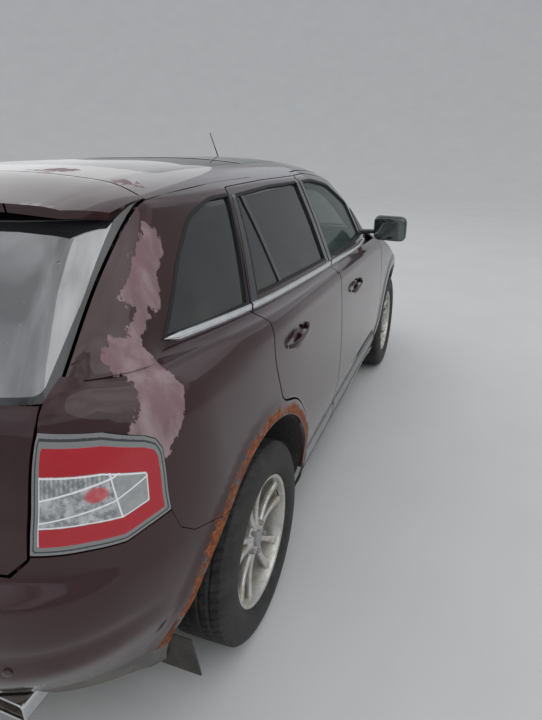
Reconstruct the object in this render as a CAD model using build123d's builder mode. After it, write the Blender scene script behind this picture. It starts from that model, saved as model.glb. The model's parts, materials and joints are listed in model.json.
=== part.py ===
from build123d import *
import os
from math import atan2, cos, degrees, radians, sin, sqrt, tan

# Crossover SUV in millimetres: +X is the front, +Y the left, +Z up, wheels on Z = 0.

# Wheels and tyres
FRONT_AXLE = 1423
REAR_AXLE = -1401
TRACK = 1654
TYRE_R = 375
TYRE_W = 240
TREAD_HALF = 94
SHOULDER_H = 30
BULGE_H = 45
RIM_R = 238
RIM_W = 205
RIM_WALL = 8
RIM_LIP = 9
RIM_LIP_T = 6
HUB_R = 72
HUB_OFFSET = 38
BORE_R = 32
CAP_T = 8
CAP_R = 30
SPOKES = 5
SPOKE_W = 26
SPOKE_T = 40
SPOKE_SPREAD = 13
LUG_PCD = 114.3
LUG_R = 10
LUG_H = 12
LUGS = 5
DISC_R = 160
DISC_T = 24
DISC_Y = 780

# Suspension: the lower arms, the hub carriers and the struts that lean in to their towers
HUB_Z = TYRE_R
ARM_Z = 262
ARM_T = 28
ARM_W = 90
BALL_Y = 700
BALL_R = 12
BALL_L = 56
BOSS_R = 34
CARRIER_IN = 655
CARRIER_OUT = 745
CARRIER_W = 100
CARRIER_H = 110
STUB_R = 62
STUB_OUT = 775
MOVE_GAP = 5
CALIPER_X = (-192, -100)
CALIPER_H = 140
CALIPER_Y = (768, 816)
STRUT_R = 26
STRUT_TOP_R = 10
TOWER_Y = 600
TOWER_Z = 980
TOWER_T = 20
TOWER_HALF = 95
DAMPER_X = -60
DAMPER_Y = 665

# Body walls and clearances
SKIN = 26
RING = 54
WALL = 96
CABIN_RING = 48
CABIN_WALL = 74
GLASS_OUT = 8
GLASS_IN = 13
SHUT = 7
SEAT_GAP = 0.3
RING_LAP = 45
DOOR_LAP = 58
SILL_SPLIT = 340
ARCH_R = 482
LINER_T = 6
LINER_Y = 470
LINER_INSET = 10
LINER_LOW = 330
WELL_IN = 555
DITCH_Y = 652
DITCH_W = 8
GATE_Y = 650
FLOOR_Z = 300
FLOOR_T = 28
BULKHEAD_X = 800
BULKHEAD_T = 24
BULKHEAD_HALF = 785
SCUTTLE_Z = 1053
SCUTTLE_T = 18
SCUTTLE_HALF = 700
SCUTTLE_X = 1340
SCUTTLE_LIP = ((1340, 500), (1425, 500))
COWL_X = 1385
ROOF_FRONT = 333
ROOF_REAR = -1552

# Hinges: the pin's radius and depth under the outermost skin, and its distance from the shut line
PIN_R = 3.5
PIN_GAP = 0.3
PIN_END = 14
EYE_H = 26
ARM_GAP = 4
NOTCH = 80
DOOR_HINGE_Z = (690, 850)
FRONT_HINGE = (871, -946)
REAR_HINGE = (-353, -943)
GATE_HINGE = (-1583, 1676)
HOOD_HINGE = (1409, 1111)
LID_HINGE_Y = 200

# Plan outlines of the lower body, one row per height Z (at X = 0); RISE tilts the section's rear up.
# z, rise, nose x, corner x, corner y, fender y, door y, rear y, quarter y, tail corner x, y, tail x
LOWER = (
    (235, 0, 2225, 2060, 640, 855, 872, 870, 800, -2055, 600, -2180),
    (380, 0, 2320, 2145, 720, 917, 912, 918, 848, -2130, 655, -2275),
    (560, 0, 2358, 2165, 775, 950, 944, 952, 912, -2210, 745, -2358),
    (752, 0, 2345, 2130, 785, 957, 949, 957, 936, -2200, 768, -2340),
    (818, 0, 2325, 2105, 782, 957, 949, 957, 936, -2160, 762, -2262),
    (950, 0, 2265, 2040, 765, 952, 946, 953, 930, -2122, 752, -2232),
    (1070, 0.02, 2195, 1960, 742, 938, 938, 945, 914, -2072, 735, -2195),
    (1140, 0.0386, 2135, 1890, 712, 915, 925, 928, 830, -2010, 722, -2122),
    (1172, 0.0386, 2105, 1850, 690, 872, 878, 852, 728, -1958, 706, -2080),
)
LOWER_X = (1650, 0, -1250, -1850)
END_Y = 300

# Plan outlines of the cabin, one row per height Z.
# z, front x, front corner x, y, front side x, y, door y, rear y, rear corner x, y, rear x
CABIN = (
    (1100, 1370, 1255, 800, 520, 902, 918, 902, -2058, 730, -2185),
    (1190, 1225, 1115, 775, 450, 871, 877, 864, -2006, 718, -2128),
    (1300, 1050, 945, 748, 350, 827, 833, 822, -1926, 706, -2048),
    (1420, 850, 745, 715, 200, 777, 784, 774, -1836, 690, -1960),
    (1530, 640, 535, 672, 50, 727, 733, 726, -1742, 668, -1866),
    (1590, 510, 395, 645, -50, 698, 703, 697, -1688, 652, -1806),
    (1645, 340, 205, 612, -200, 668, 672, 666, -1640, 630, -1750),
    (1740, -60, -190, 560, -420, 612, 615, 612, -1560, 590, -1660),
)
CABIN_X = (-640, -1300)

# Cross sections of the roof and of the hood, one row per station X.
# x, centre z, shoulder z, outer z
ROOF = (
    (-2000, 1555, 1500, 1050),
    (-1800, 1640, 1592, 1150),
    (-1550, 1684, 1645, 1200),
    (-1000, 1702, 1666, 1210),
    (-200, 1698, 1660, 1210),
    (100, 1676, 1636, 1190),
    (440, 1636, 1592, 1180),
    (900, 1580, 1560, 1330),
    (1500, 1560, 1540, 1320),
)
HOOD = (
    (900, 1205, 1195, 1170),
    (1250, 1145, 1122, 1000),
    (1500, 1104, 1072, 865),
    (1800, 1058, 1020, 780),
    (2050, 1004, 962, 700),
    (2250, 948, 903, 620),
    (2420, 880, 835, 560),
)
SHOULDER_Y = 660
OUTER_Y = 1060

# Side view outlines, one row per corner: x, z, corner radius
FRONT_DOOR = (
    (882, 340, 60),
    (896, 800, 400),
    (912, 1168, 30),
    (620, 1450, 500),
    (250, 1584, 500),
    (-60, 1629, 400),
    (-286, 1634, 10),
    (-300, 1190, 20),
    (-322, 340, 30),
)
REAR_DOOR = (
    (-297, 1634, 10),
    (-307, 1190, 20),
    (-329, 340, 30),
    (-862, 340, 25),
    (-856, 540, 500),
    (-1053, 821, 500),
    (-1238, 890, 40),
    (-1300, 1060, 200),
    (-1287, 1236, 60),
    (-1119, 1627, 22),
    (-700, 1642, 600),
)
FRONT_GLASS = (
    (575, 1196, 12),
    (560, 1412, 30),
    (235, 1542, 500),
    (-60, 1586, 400),
    (-250, 1590, 10),
    (-262, 1219, 12),
)
REAR_GLASS = (
    (-345, 1223, 12),
    (-340, 1592, 10),
    (-700, 1599, 700),
    (-1086, 1587, 12),
    (-1228, 1262, 14),
)
QUARTER_GLASS = (
    (-1338, 1265, 12),
    (-1180, 1592, 14),
    (-1380, 1585, 200),
    (-1592, 1541, 150),
    (-1762, 1420, 150),
    (-1838, 1312, 30),
    (-1806, 1280, 25),
)
LAMP_SIDE = ((-1971, 1138), (-1957, 925), (-2065, 880), (-2400, 751), (-2400, 1138))
SEAM_X = -1757
REAR_SEAM = ((-2400, 751), (-2065, 880), (-1957, 925), (-1935, 855), (SEAM_X, 700))
SIDE_ZONE = (
    (1340, 1085), (990, 1480), (500, 1720), (-2400, 1720), *REAR_SEAM, (SEAM_X, 236),
    (935, 236), (935, SILL_SPLIT), (870, SILL_SPLIT), (870, 1100),
)
RING_ZONE = ((1340, 1085), (990, 1480), (500, 1720), (-1700, 1720), (-1700, 236), (935, 236), (935, 1100))
ROOF_PLAN = ((ROOF_REAR, DITCH_Y), (-320, DITCH_Y), (ROOF_FRONT, 606))
WINDSHIELD_FRONT = ((-742, 1000), (-742, 1130), (-602, 1620), (-590, 1800), (590, 1800), (602, 1620),
                    (742, 1130), (742, 1000))

FRONT_DOOR_RELIEF = ((845, -845, 1120), (960, -770, 1146))
REAR_DOOR_RELIEF = ((-357, -667, 1560), (-290, -600, 1700))
REAR_FRAME_RELIEF = ((-1030, 1641), (-1135, 1641), (-1303, 1236), (-1130, 1236))
FENDER_ZONE = (
    (870.3, 340.3), (935.3, 340.3), (935.3, 236), (1850, 236), (1850, 600), (1905, 735), (2000, 770),
    (2000, 1300), (1340.3, 1300), (1340.3, 1084.7), (870.3, 1099.7),
)
FENDER_TOP = (((1340, -1100, 700), (COWL_X, -746, 1300)), ((COWL_X, -1100, 700), (2001, -650, 1300)))
FRONT_BUMPER_SIDE = (
    (1850.3, 150), (1850.3, 599.7), (1905, 734.7), (2000.3, 769.7), (2000.3, 1300), (2500, 1300), (2500, 150),
)
HEADLAMP_FRONT = ((505, 775), (1000, 770), (1000, 900), (500, 885))
HEADLAMP_BACK = 1930
GRILLE_HALF = 480
GRILLE_Z = (560, 885)
GRILLE_BARS = 5
GRILLE_BAR_H = 22
INTAKE_HALF = 520
INTAKE_Z = (285, 440)
GATE_BOTTOM = 824
GATE_GLASS = ((560, 1268), (598, 1320), (560, 1560), (-560, 1560), (-598, 1320), (-560, 1268))
SPOILER_PLAN = ((ROOF_REAR, 643), (-1700, 640), (-1790, 560), (-1838, 340), (-1846, 0))
HOOD_PLAN = ((2215, 0), (2205, 300), (2085, 590), (1960, 712), (1850, 738), (COWL_X, 742))
WINDSHIELD_BASE = 1118
GATE_REAR = ((-600, GATE_BOTTOM), (-643, 860), (-643, 1800), (643, 1800), (643, 860), (600, GATE_BOTTOM))
GATE_DROP = 86
MIRROR_ARM = ((640, -960, 1150), (760, -850, 1180))
MIRROR_HEAD = ((655, -1130, 1120), (800, -950, 1290))
MIRROR_ROUND = 22
ANTENNA = (300, 0, 1650)
ANTENNA_R = 3.5
ANTENNA_H = 210
ANTENNA_RAKE = -35
ROOF_GLASS = (((-560, -540), (290, 545)), ((-1330, -540), (-600, 545)))

HOOD_DROP = 60
GATE_OPEN = ((-650, 1300), (-650, 853), (-607, GATE_BOTTOM - SHUT), (607, GATE_BOTTOM - SHUT), (650, 853),
             (650, 1300))
GATE_CENTRE = ((-650, 100), (-650, 853), (-607, GATE_BOTTOM - SHUT), (607, GATE_BOTTOM - SHUT), (650, 853),
               (650, 100))
HEADER_BEAM = ((-1612, -450, 1560), (-1520, 450, 1598))
HEADER_WEB = ((-1540, -450, 1560), (-1522, 450, 1664))

# Cabin, load space and hidden masses, in millimetres: low corner, high corner
TUNNEL_HALF = 130
TUNNEL_TOP = 460
ENGINE_BOX = ((1160, -380, 400), (1960, 380, 870))
SUMP_BOX = ((1240, -120, 331), (1560, 120, 420))
TANK_BOX = ((-900, -620, 205), (-420, -115, FLOOR_Z - SEAT_GAP))
SEAT_PLAN = ((-130, 150), (440, 680))
SEAT_BASE_Z = (360, 620)
SEAT_BACK = ((-210, 150, 560), (-70, 680, 1200))
HEADREST = ((-225, 300, 1240), (-135, 530, 1420))
HEADREST_POSTS = (((-185, 360, 1180), (-175, 370, 1260)), ((-185, 460, 1180), (-175, 470, 1260)))
SEAT_FOOT = 40
BENCH = (
    ((-900, -640, TUNNEL_TOP + SEAT_GAP), (-430, 640, 640)),
    ((-1010, -540, TUNNEL_TOP + SEAT_GAP), (-890, 540, 640)),
    ((-1130, -540, 600), (-1000, 540, 810)),
    ((-1130, -640, 800), (-1000, 640, 1230)),
)
BENCH_FEET = (((-960, 140), (-560, 540)), ((-960, -540), (-560, -140)))
DASH_BOX = ((560, -720, 700), (BULKHEAD_X - SEAT_GAP, 720, 1030))
CONSOLE_BOX = ((260, -110, 600), (700, 110, 720))
WHEEL_CENTRE = (420, 370, 950)
WHEEL_R = 185
WHEEL_RIM_R = 15
WHEEL_SPOKE_W = 34
WHEEL_TILT = 65
COLUMN_R = 28
COLUMN_L = 320
HEEL_X = -1160
TRUNK_Z = 640
TRUNK_END = -2130
TRUNK_HALF = 545
REAR_PANEL_Z = 430
REAR_RAIL_Z = 470
REAR_RAIL_W = 60

# Exhaust route: x, y, z, the silencer under the rear panel and the tip
PIPE_R = 27
PIPE = (
    (ENGINE_BOX[0][0] - PIPE_R - SEAT_GAP, 0, 560), (ENGINE_BOX[0][0] - PIPE_R - SEAT_GAP, 0, 252),
    (700, 0, 252), (-300, -60, 252), (-940, -40, 252), (-1230, -60, 362),
    (-1560, -160, 362), (-1900, -280, 345),
)
SILENCER = ((-2075, -480, 270), (-1875, 120, 415))
HANGER = ((-2060, -100, 410), (-2050, 0, TRUNK_Z - FLOOR_T - SEAT_GAP))
TIP = ((-2182, -518, 258), (-2070, -398, 322))
TIP_WALL = 5
TIP_GAP = 8

# Front and rear frames
RAIL_Y = (395, 455)
RAIL_Z = (420, 520)
RAIL_END = 2120
CROSS_BOX = ((1250, -470, 228), (1600, 470, 292))
CROSS_POST = (1250, 1330)
SUMP_PAD = ((1300, -110, 280), (1420, 110, SUMP_BOX[0][2] - SEAT_GAP))
APRON_X = (1200, 1520)
APRON_T = 30
RADIATOR = ((2090, -600, 400), (2130, 600, 860))
RADIATOR_CORE = ((2100, -520, 470), (2120, 520, 820))
BEAM_BOX = ((2125, -560, 440), (2190, 560, 540))
REAR_CROSS = ((-1500, -500, 250), (-1290, 500, 310))
REAR_POST = (-1440, -1350)
REAR_ARMS = (-90, 60)
REAR_ARM_W = 40
FLAP_IN = 700
FLAP_OUT = 880
FLAP_T = 6
FLAP_REACH = 45
FRONT_FLAP_Z = 245
REAR_FLAP_Z = 170

EPS = 1


def corner_radii(points, share=0.45):
    """The largest tangent arc for each corner of a closed polygon, as a share of its shorter side."""
    radii = []
    for i in range(len(points)):
        before = Vector(*points[i]) - Vector(*points[i - 1])
        after = Vector(*points[(i + 1) % len(points)]) - Vector(*points[i])
        half_turn = radians(before.get_angle(after)) / 2
        radii.append(share * min(before.length, after.length) / tan(half_turn))
    return radii


def inset(points, depth):
    """The polygon with each side moved inwards by the depth."""
    moved = []
    for i in range(len(points)):
        here = Vector(*points[i])
        before = (here - Vector(*points[i - 1])).normalized()
        after = (Vector(*points[(i + 1) % len(points)]) - here).normalized()
        normals = Vector(-before.Y, before.X) + Vector(-after.Y, after.X)
        bisector = normals.normalized()
        corner = here + bisector * (depth / bisector.dot(Vector(-before.Y, before.X)))
        moved.append((corner.X, corner.Y))
    return moved


def open_radii(points, share=0.45):
    """The largest tangent arc for each inner point of a route, as a share of its shorter run."""
    radii = []
    for i in range(1, len(points) - 1):
        before = Vector(*points[i]) - Vector(*points[i - 1])
        after = Vector(*points[i + 1]) - Vector(*points[i])
        half_turn = radians(before.get_angle(after)) / 2
        radii.append(share * min(before.length, after.length) / tan(half_turn))
    return radii


def both_sides(half):
    return half + [(x, -y) for x, y in reversed(half)]


def lower_points(row):
    nose_x, corner_x, corner_y, fender_y, door_y, rear_y, quarter_y, tail_x, tail_y, end_x = row[2:]
    sides = list(zip(LOWER_X, (fender_y, door_y, rear_y, quarter_y)))
    return both_sides([(nose_x, END_Y), (corner_x, corner_y), *sides, (tail_x, tail_y), (end_x, END_Y)])


def cabin_points(row):
    nose_x, corner_x, corner_y, front_x, front_y, door_y, rear_y, tail_x, tail_y, end_x = row[1:]
    sides = [(front_x, front_y), *zip(CABIN_X, (door_y, rear_y))]
    return both_sides([(nose_x, END_Y), (corner_x, corner_y), *sides, (tail_x, tail_y), (end_x, END_Y)])


def plan_form(rows, points_of, rise_of, depth):
    """A solid through the rows' plan outlines, each moved inwards by the depth."""
    with BuildPart() as form:
        for row in rows:
            rise = rise_of(row)
            tilted = Plane(origin=(0, 0, row[0]), x_dir=(1, 0, -rise), z_dir=(rise, 0, 1))
            points = inset(points_of(row), depth)
            with BuildSketch(tilted):
                with BuildLine():
                    FilletPolyline(*points, radius=corner_radii(points), close=True)
                make_face()
        loft(ruled=True)
    return form.part


def lower_form(depth):
    return plan_form(LOWER, lower_points, lambda row: row[1], depth)


def cabin_form(depth):
    return plan_form(CABIN, cabin_points, lambda row: 0, depth)


def cross_form(rows, drop, floor_z):
    """A solid under the rows' cross sections, lowered by the drop."""
    with BuildPart() as form:
        for x, centre_z, shoulder_z, outer_z in rows:
            top = [(-OUTER_Y, outer_z), (-SHOULDER_Y, shoulder_z), (-END_Y, centre_z)]
            top += [(-y, z) for y, z in reversed(top)]
            top = [(y, z - drop) for y, z in top]
            radii = [5] + corner_radii(top)[1:-1] + [5]
            points = [(-OUTER_Y, floor_z)] + top + [(OUTER_Y, floor_z)]
            with BuildSketch(Plane.YZ.offset(x)):
                with BuildLine():
                    FilletPolyline(*points, radius=[5] + radii + [5], close=True)
                make_face()
        loft(ruled=True)
    return form.part


def box(low, high):
    with BuildPart() as block:
        size = [b - a for a, b in zip(low, high)]
        with Locations(tuple(low)):
            Box(*size, align=(Align.MIN, Align.MIN, Align.MIN))
    return block.part


def side_prism(rows, y_in=450, y_out=1100):
    """The side view outline carried across the car's right side."""
    with BuildPart() as prism:
        with BuildSketch(Plane.XZ.offset(y_in)):
            with BuildLine():
                FilletPolyline(*[(x, z) for x, z, r in rows], radius=[r for x, z, r in rows], close=True)
            make_face()
        extrude(amount=y_out - y_in)
    return prism.part


def side_polygon(points, y_in=450, y_out=1100):
    with BuildPart() as prism:
        with BuildSketch(Plane.XZ.offset(y_in)):
            Polygon(*points, align=None)
        extrude(amount=y_out - y_in)
    return prism.part


def grown_prism(rows, amount, y_in=450, y_out=1100):
    """The side view outline, grown or shrunk all round, carried across the right side."""
    with BuildPart() as prism:
        with BuildSketch(Plane.XZ.offset(y_in)):
            with BuildLine():
                FilletPolyline(*[(x, z) for x, z, r in rows], radius=[r for x, z, r in rows], close=True)
            make_face()
            offset(amount=amount, kind=Kind.INTERSECTION)
        extrude(amount=y_out - y_in)
    return prism.part


def front_prism(points, x_low, x_high):
    """The front view outline (y, z) carried along the car."""
    with BuildPart() as prism:
        with BuildSketch(Plane.YZ.offset(x_low)):
            Polygon(*points, align=None)
        extrude(amount=x_high - x_low)
    return prism.part


def mirrored_loop(half):
    """A closed loop from its half on the left side; a point on the middle line isn't repeated."""
    return list(half) + [(x, -y) for x, y in reversed(half) if y > 0]


def plan_prism(points, z_low, z_high):
    with BuildPart() as prism:
        with BuildSketch(Plane.XY.offset(z_low)):
            Polygon(*points, align=None)
        extrude(amount=z_high - z_low)
    return prism.part


def cross_prism(points):
    """The side view outline (x, z) carried over the whole width."""
    return side_polygon(points, y_in=-1100, y_out=1100)


def roof_prism(margin, rear):
    """The roof's plan outline between its ditches, widened by the margin, from the rear edge forwards."""
    half = [(max(x, rear), y + margin) for x, y in ROOF_PLAN]
    return plan_prism(mirrored_loop(half), 1400, 1800)


def cylinder_y(x, z, radius, y_low, y_high):
    with BuildPart() as rod:
        with BuildSketch(Plane.XZ.offset(-y_high)):
            with Locations((x, z)):
                Circle(radius)
        extrude(amount=y_high - y_low)
    return rod.part


def hinge(axis, z, depth):
    """An upright pin on its arm, the notch that clears the arm, and the hole for the pin."""
    x, y = axis
    with BuildPart() as arm:
        add(box((x - PIN_R, y, z - EYE_H / 2), (x + PIN_R, y + depth, z + EYE_H / 2)))
        with Locations((x, y, z)):
            Cylinder(PIN_R, EYE_H + 2 * PIN_END)
    low = z - EYE_H / 2 - ARM_GAP
    notch = box((x - PIN_R - EPS, y - PIN_R - EPS, low), (x + NOTCH, y + NOTCH, low + EYE_H + 2 * ARM_GAP))
    with BuildPart() as hole:
        with Locations((x, y, z)):
            Cylinder(PIN_R + PIN_GAP, EYE_H + 2 * PIN_END + 2 * EPS)
    return arm.part, notch, hole.part


def lid_hinge(x, z, y, drop, lip):
    """A crosswise pin on its arm, the arm's notch towards the lip's side, and the pin's hole."""
    with BuildPart() as arm:
        add(box((x - PIN_R, y - EYE_H / 2, z - drop), (x + PIN_R, y + EYE_H / 2, z)))
        add(cylinder_y(x, z, PIN_R, y - EYE_H / 2 - PIN_END, y + EYE_H / 2 + PIN_END))
    half = EYE_H / 2 + ARM_GAP
    ends = sorted((x - lip * (PIN_R + EPS), x + lip * NOTCH))
    notch = box((ends[0], y - half, z - NOTCH), (ends[1], y + half, z + PIN_R + EPS))
    hole = cylinder_y(x, z, PIN_R + PIN_GAP, y - EYE_H / 2 - PIN_END - EPS, y + EYE_H / 2 + PIN_END + EPS)
    return arm.part, notch, hole


def finish(part, name):
    part.label = name
    export_step(part, f"parts/{name}.step")


def finish_pair(part, name):
    """Writes the right side's piece and its mirror image."""
    finish(part, f"{name}_right")
    finish(mirror(part, about=Plane.XZ), f"{name}_left")


def with_mirror(part):
    return part + mirror(part, about=Plane.XZ)


os.makedirs("parts", exist_ok=True)
UPWARDS = (Align.CENTER, Align.CENTER, Align.MIN)

# The body's outer form and the same form at each wall depth
lower = {depth: lower_form(depth) for depth in (0, SKIN, RING, WALL)}
cabin = {depth: cabin_form(depth) for depth in (0, GLASS_OUT, GLASS_IN, SKIN, CABIN_RING, CABIN_WALL)}
roof = {drop: cross_form(ROOF, drop, 900) for drop in (0, SKIN / 2, SKIN)}
hood_form = {drop: cross_form(HOOD, drop, 100) for drop in (0, SKIN)}
behind_hood = box((-2700, -1100, 100), (HOOD[0][0] + EPS, 1100, 2100))
inner_windshield = inset(WINDSHIELD_FRONT, -SEAT_GAP)
inner_gate_glass = inset(GATE_GLASS, SEAT_GAP)
right_half = box((-2700, -1100, 100), (2700, 0, 2100))

lower_skin = lower[0] - lower[SKIN]
cabin_skin = ((cabin[0] - cabin[SKIN]) & roof[0]) - lower[SKIN]
glass_layer = cabin[GLASS_OUT] - cabin[GLASS_IN]
hood_shell = (hood_form[0] - hood_form[SKIN]) & lower[0]
front_skin = lower_skin & (hood_form[0] + behind_hood)
right_lower_skin = lower_skin & right_half
right_cabin_skin = cabin_skin & right_half
right_glass = glass_layer & right_half

arch_cut = cylinder_y(REAR_AXLE, TYRE_R, ARCH_R, -1100, -500)
front_arch_cut = cylinder_y(FRONT_AXLE, TYRE_R, ARCH_R, -1100, -500)
lamp_cut = side_polygon(LAMP_SIDE, y_in=GATE_Y)
quarter_cut = side_prism(QUARTER_GLASS)
roof_cut = roof_prism(DITCH_W / 2, ROOF_REAR)
roof_relief = roof_prism(SHUT, ROOF_REAR)
gate_cut = box((-2700, -GATE_Y, 100), (ROOF_REAR, GATE_Y, 2100))
windshield_cut = front_prism(WINDSHIELD_FRONT, ROOF_FRONT, 2000)
frame_relief = side_polygon(REAR_FRAME_RELIEF)

# Fixed side: pillars, roof rail, quarter panel and sill in one piece
with BuildPart() as body_side:
    add(((lower[0] - lower[WALL]) + ((cabin[0] - cabin[CABIN_WALL]) & roof[0])) & right_half)
    add(side_polygon(SIDE_ZONE, y_in=500), mode=Mode.INTERSECT)
    for outline in (FRONT_DOOR, REAR_DOOR):
        add(grown_prism(outline, SHUT), mode=Mode.SUBTRACT)
with BuildPart() as aperture:
    add(((lower[RING] - lower[WALL]) + ((cabin[CABIN_RING] - cabin[CABIN_WALL]) & roof[SKIN])) & right_half)
    add(side_polygon(RING_ZONE, y_in=500), mode=Mode.INTERSECT)
    for outline in (FRONT_DOOR, REAR_DOOR):
        add(grown_prism(outline, -RING_LAP), mode=Mode.SUBTRACT)
with BuildPart() as body_side_right:
    add(body_side.part)
    add(aperture.part)
    for arm in [hinge(FRONT_HINGE, z, RING)[0] for z in DOOR_HINGE_Z]:
        add(arm)
    for arm in [hinge(REAR_HINGE, z, RING)[0] for z in DOOR_HINGE_Z]:
        add(arm)
    for cutter in (arch_cut, lamp_cut, quarter_cut, roof_cut, gate_cut, windshield_cut, frame_relief):
        add(cutter, mode=Mode.SUBTRACT)
finish_pair(body_side_right.part, "body_side")

# Doors on the right side, each with its window
right_skin = right_lower_skin + right_cabin_skin
door_inner = (lower[SKIN] - lower[WALL]) & right_half
mirror_arm = box(*MIRROR_ARM)
with BuildPart() as mirror_head:
    add(box(*MIRROR_HEAD))
    fillet(mirror_head.edges(), MIRROR_ROUND)
for place, outline, glass, axis, relief in (
    ("front", FRONT_DOOR, FRONT_GLASS, FRONT_HINGE, FRONT_DOOR_RELIEF),
    ("rear", REAR_DOOR, REAR_GLASS, REAR_HINGE, REAR_DOOR_RELIEF),
):
    with BuildPart() as door:
        add(right_skin)
        add(side_prism(outline), mode=Mode.INTERSECT)
        add(door_inner & grown_prism(outline, -DOOR_LAP))
        for cutter in (roof_relief, side_prism(glass), box(*relief)):
            add(cutter, mode=Mode.SUBTRACT)
        for z in DOOR_HINGE_Z:
            arm, notch, hole = hinge(axis, z, RING)
            add(notch, mode=Mode.SUBTRACT)
            add(hole, mode=Mode.SUBTRACT)
        if place == "front":
            add(mirror_arm)
            add(mirror_head.part)
    finish_pair(door.part, f"door_{place}")
    with BuildPart() as pane:
        add(right_glass)
        add(grown_prism(glass, -SEAT_GAP), mode=Mode.INTERSECT)
    finish_pair(pane.part, f"door_glass_{place}")

with BuildPart() as quarter_glass:
    add(right_glass)
    add(grown_prism(QUARTER_GLASS, -SEAT_GAP), mode=Mode.INTERSECT)
finish(with_mirror(quarter_glass.part), "quarter_glass")

# Tail lamps sit in the quarter panel's corner
with BuildPart() as tail_lamp:
    add(right_lower_skin)
    add(side_polygon(LAMP_SIDE, y_in=GATE_Y + SEAT_GAP), mode=Mode.INTERSECT)
finish(with_mirror(tail_lamp.part), "tail_lamps")

# Roof between the ditches, its two panes and the windshield
with BuildPart() as roof_panel:
    add((roof[0] - roof[SKIN]) & cabin[0])
    add(roof_prism(-DITCH_W / 2, ROOF_REAR + SHUT), mode=Mode.INTERSECT)
with BuildPart() as roof_flange:
    add((roof[SKIN / 2] - roof[SKIN]) & cabin[0])
    add(roof_prism(DITCH_W / 2 - SEAT_GAP, ROOF_REAR + SHUT), mode=Mode.INTERSECT)
pane_boxes = [box((low[0], low[1], 1400), (high[0], high[1], 1800)) for low, high in ROOF_GLASS]
inner_boxes = [
    box((low[0] + SEAT_GAP, low[1] + SEAT_GAP, 1400), (high[0] - SEAT_GAP, high[1] - SEAT_GAP, 1800))
    for low, high in ROOF_GLASS
]
with BuildPart() as roof_whole:
    add(roof_panel.part)
    add(roof_flange.part)
    for opening in pane_boxes:
        add(opening, mode=Mode.SUBTRACT)
    add(box(*HEADER_WEB))
    add(box(*HEADER_BEAM))
    for y in (-LID_HINGE_Y, LID_HINGE_Y):
        add(lid_hinge(*GATE_HINGE, y, GATE_DROP, 1)[0])
    with Locations(ANTENNA):
        Cylinder(ANTENNA_R, ANTENNA_H, rotation=(0, ANTENNA_RAKE, 0), align=UPWARDS)
finish(roof_whole.part, "roof_panel")
with BuildPart() as roof_glass:
    add(roof[0] - roof[SKIN / 2])
    add(inner_boxes[0] + inner_boxes[1], mode=Mode.INTERSECT)
finish(roof_glass.part, "roof_glass")

with BuildPart() as windshield:
    add(glass_layer & roof[0])
    add(front_prism(inner_windshield, ROOF_FRONT + SEAT_GAP, 2000), mode=Mode.INTERSECT)
    add(box((0, -1000, WINDSHIELD_BASE), (2000, 1000, 1800)), mode=Mode.INTERSECT)
finish(windshield.part, "windshield")

# Tailgate: the lid below the roof, its window and the spoiler over it
gate_zone = front_prism(GATE_REAR, -2600, ROOF_REAR)
glass_hole = front_prism(GATE_GLASS, -2600, -1650)
with BuildPart() as spoiler:
    add(roof[0] - roof[SKIN])
    add(plan_prism(mirrored_loop(SPOILER_PLAN), 1400, 1800), mode=Mode.INTERSECT)
with BuildPart() as tailgate:
    add((lower_skin & gate_zone) + (cabin_skin & gate_zone))
    add(spoiler.part)
    add(glass_hole, mode=Mode.SUBTRACT)
    for y in (-LID_HINGE_Y, LID_HINGE_Y):
        arm, notch, hole = lid_hinge(*GATE_HINGE, y, GATE_DROP, 1)
        add(notch, mode=Mode.SUBTRACT)
        add(hole, mode=Mode.SUBTRACT)
finish(tailgate.part, "tailgate")
with BuildPart() as gate_glass:
    add(glass_layer & front_prism(inner_gate_glass, -2600, -1650))
finish(gate_glass.part, "tailgate_glass")

# Front end: hood, fenders, lamps, bumper and grille
hood_loop = mirrored_loop(HOOD_PLAN)
hood_gap = plan_prism(inset(hood_loop, -SHUT), 700, 1300)
lamp_half = front_prism(HEADLAMP_FRONT, HEADLAMP_BACK, 2500)
lamp_space = with_mirror(lamp_half)
front_arches = cylinder_y(FRONT_AXLE, TYRE_R, ARCH_R, -1100, 1100)
arches = front_arches + cylinder_y(REAR_AXLE, TYRE_R, ARCH_R, -1100, 1100)
with BuildPart() as hood:
    add(hood_shell & plan_prism(hood_loop, 700, 1300))
    for y in (-LID_HINGE_Y, LID_HINGE_Y):
        arm, notch, hole = lid_hinge(*HOOD_HINGE, y, HOOD_DROP, -1)
        add(notch, mode=Mode.SUBTRACT)
        add(hole, mode=Mode.SUBTRACT)
finish(hood.part, "hood")
with BuildPart() as fender:
    add(front_skin & right_half)
    for low, high in FENDER_TOP:
        add(hood_shell & box(low, high))
    add(side_polygon(FENDER_ZONE), mode=Mode.INTERSECT)
    for cutter in (grown_prism(FRONT_DOOR, SHUT), front_arch_cut, hood_gap, lamp_space):
        add(cutter, mode=Mode.SUBTRACT)
finish_pair(fender.part, "fender")
grille_space = box((2000, -GRILLE_HALF, GRILLE_Z[0]), (2500, GRILLE_HALF, GRILLE_Z[1]))
with BuildPart() as front_bumper:
    add((front_skin + hood_shell) & cross_prism(FRONT_BUMPER_SIDE))
    for cutter in (arches, hood_gap, lamp_space, grille_space):
        add(cutter, mode=Mode.SUBTRACT)
    add(box((2000, -INTAKE_HALF, INTAKE_Z[0]), (2500, INTAKE_HALF, INTAKE_Z[1])), mode=Mode.SUBTRACT)
finish(front_bumper.part, "front_bumper")
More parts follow.
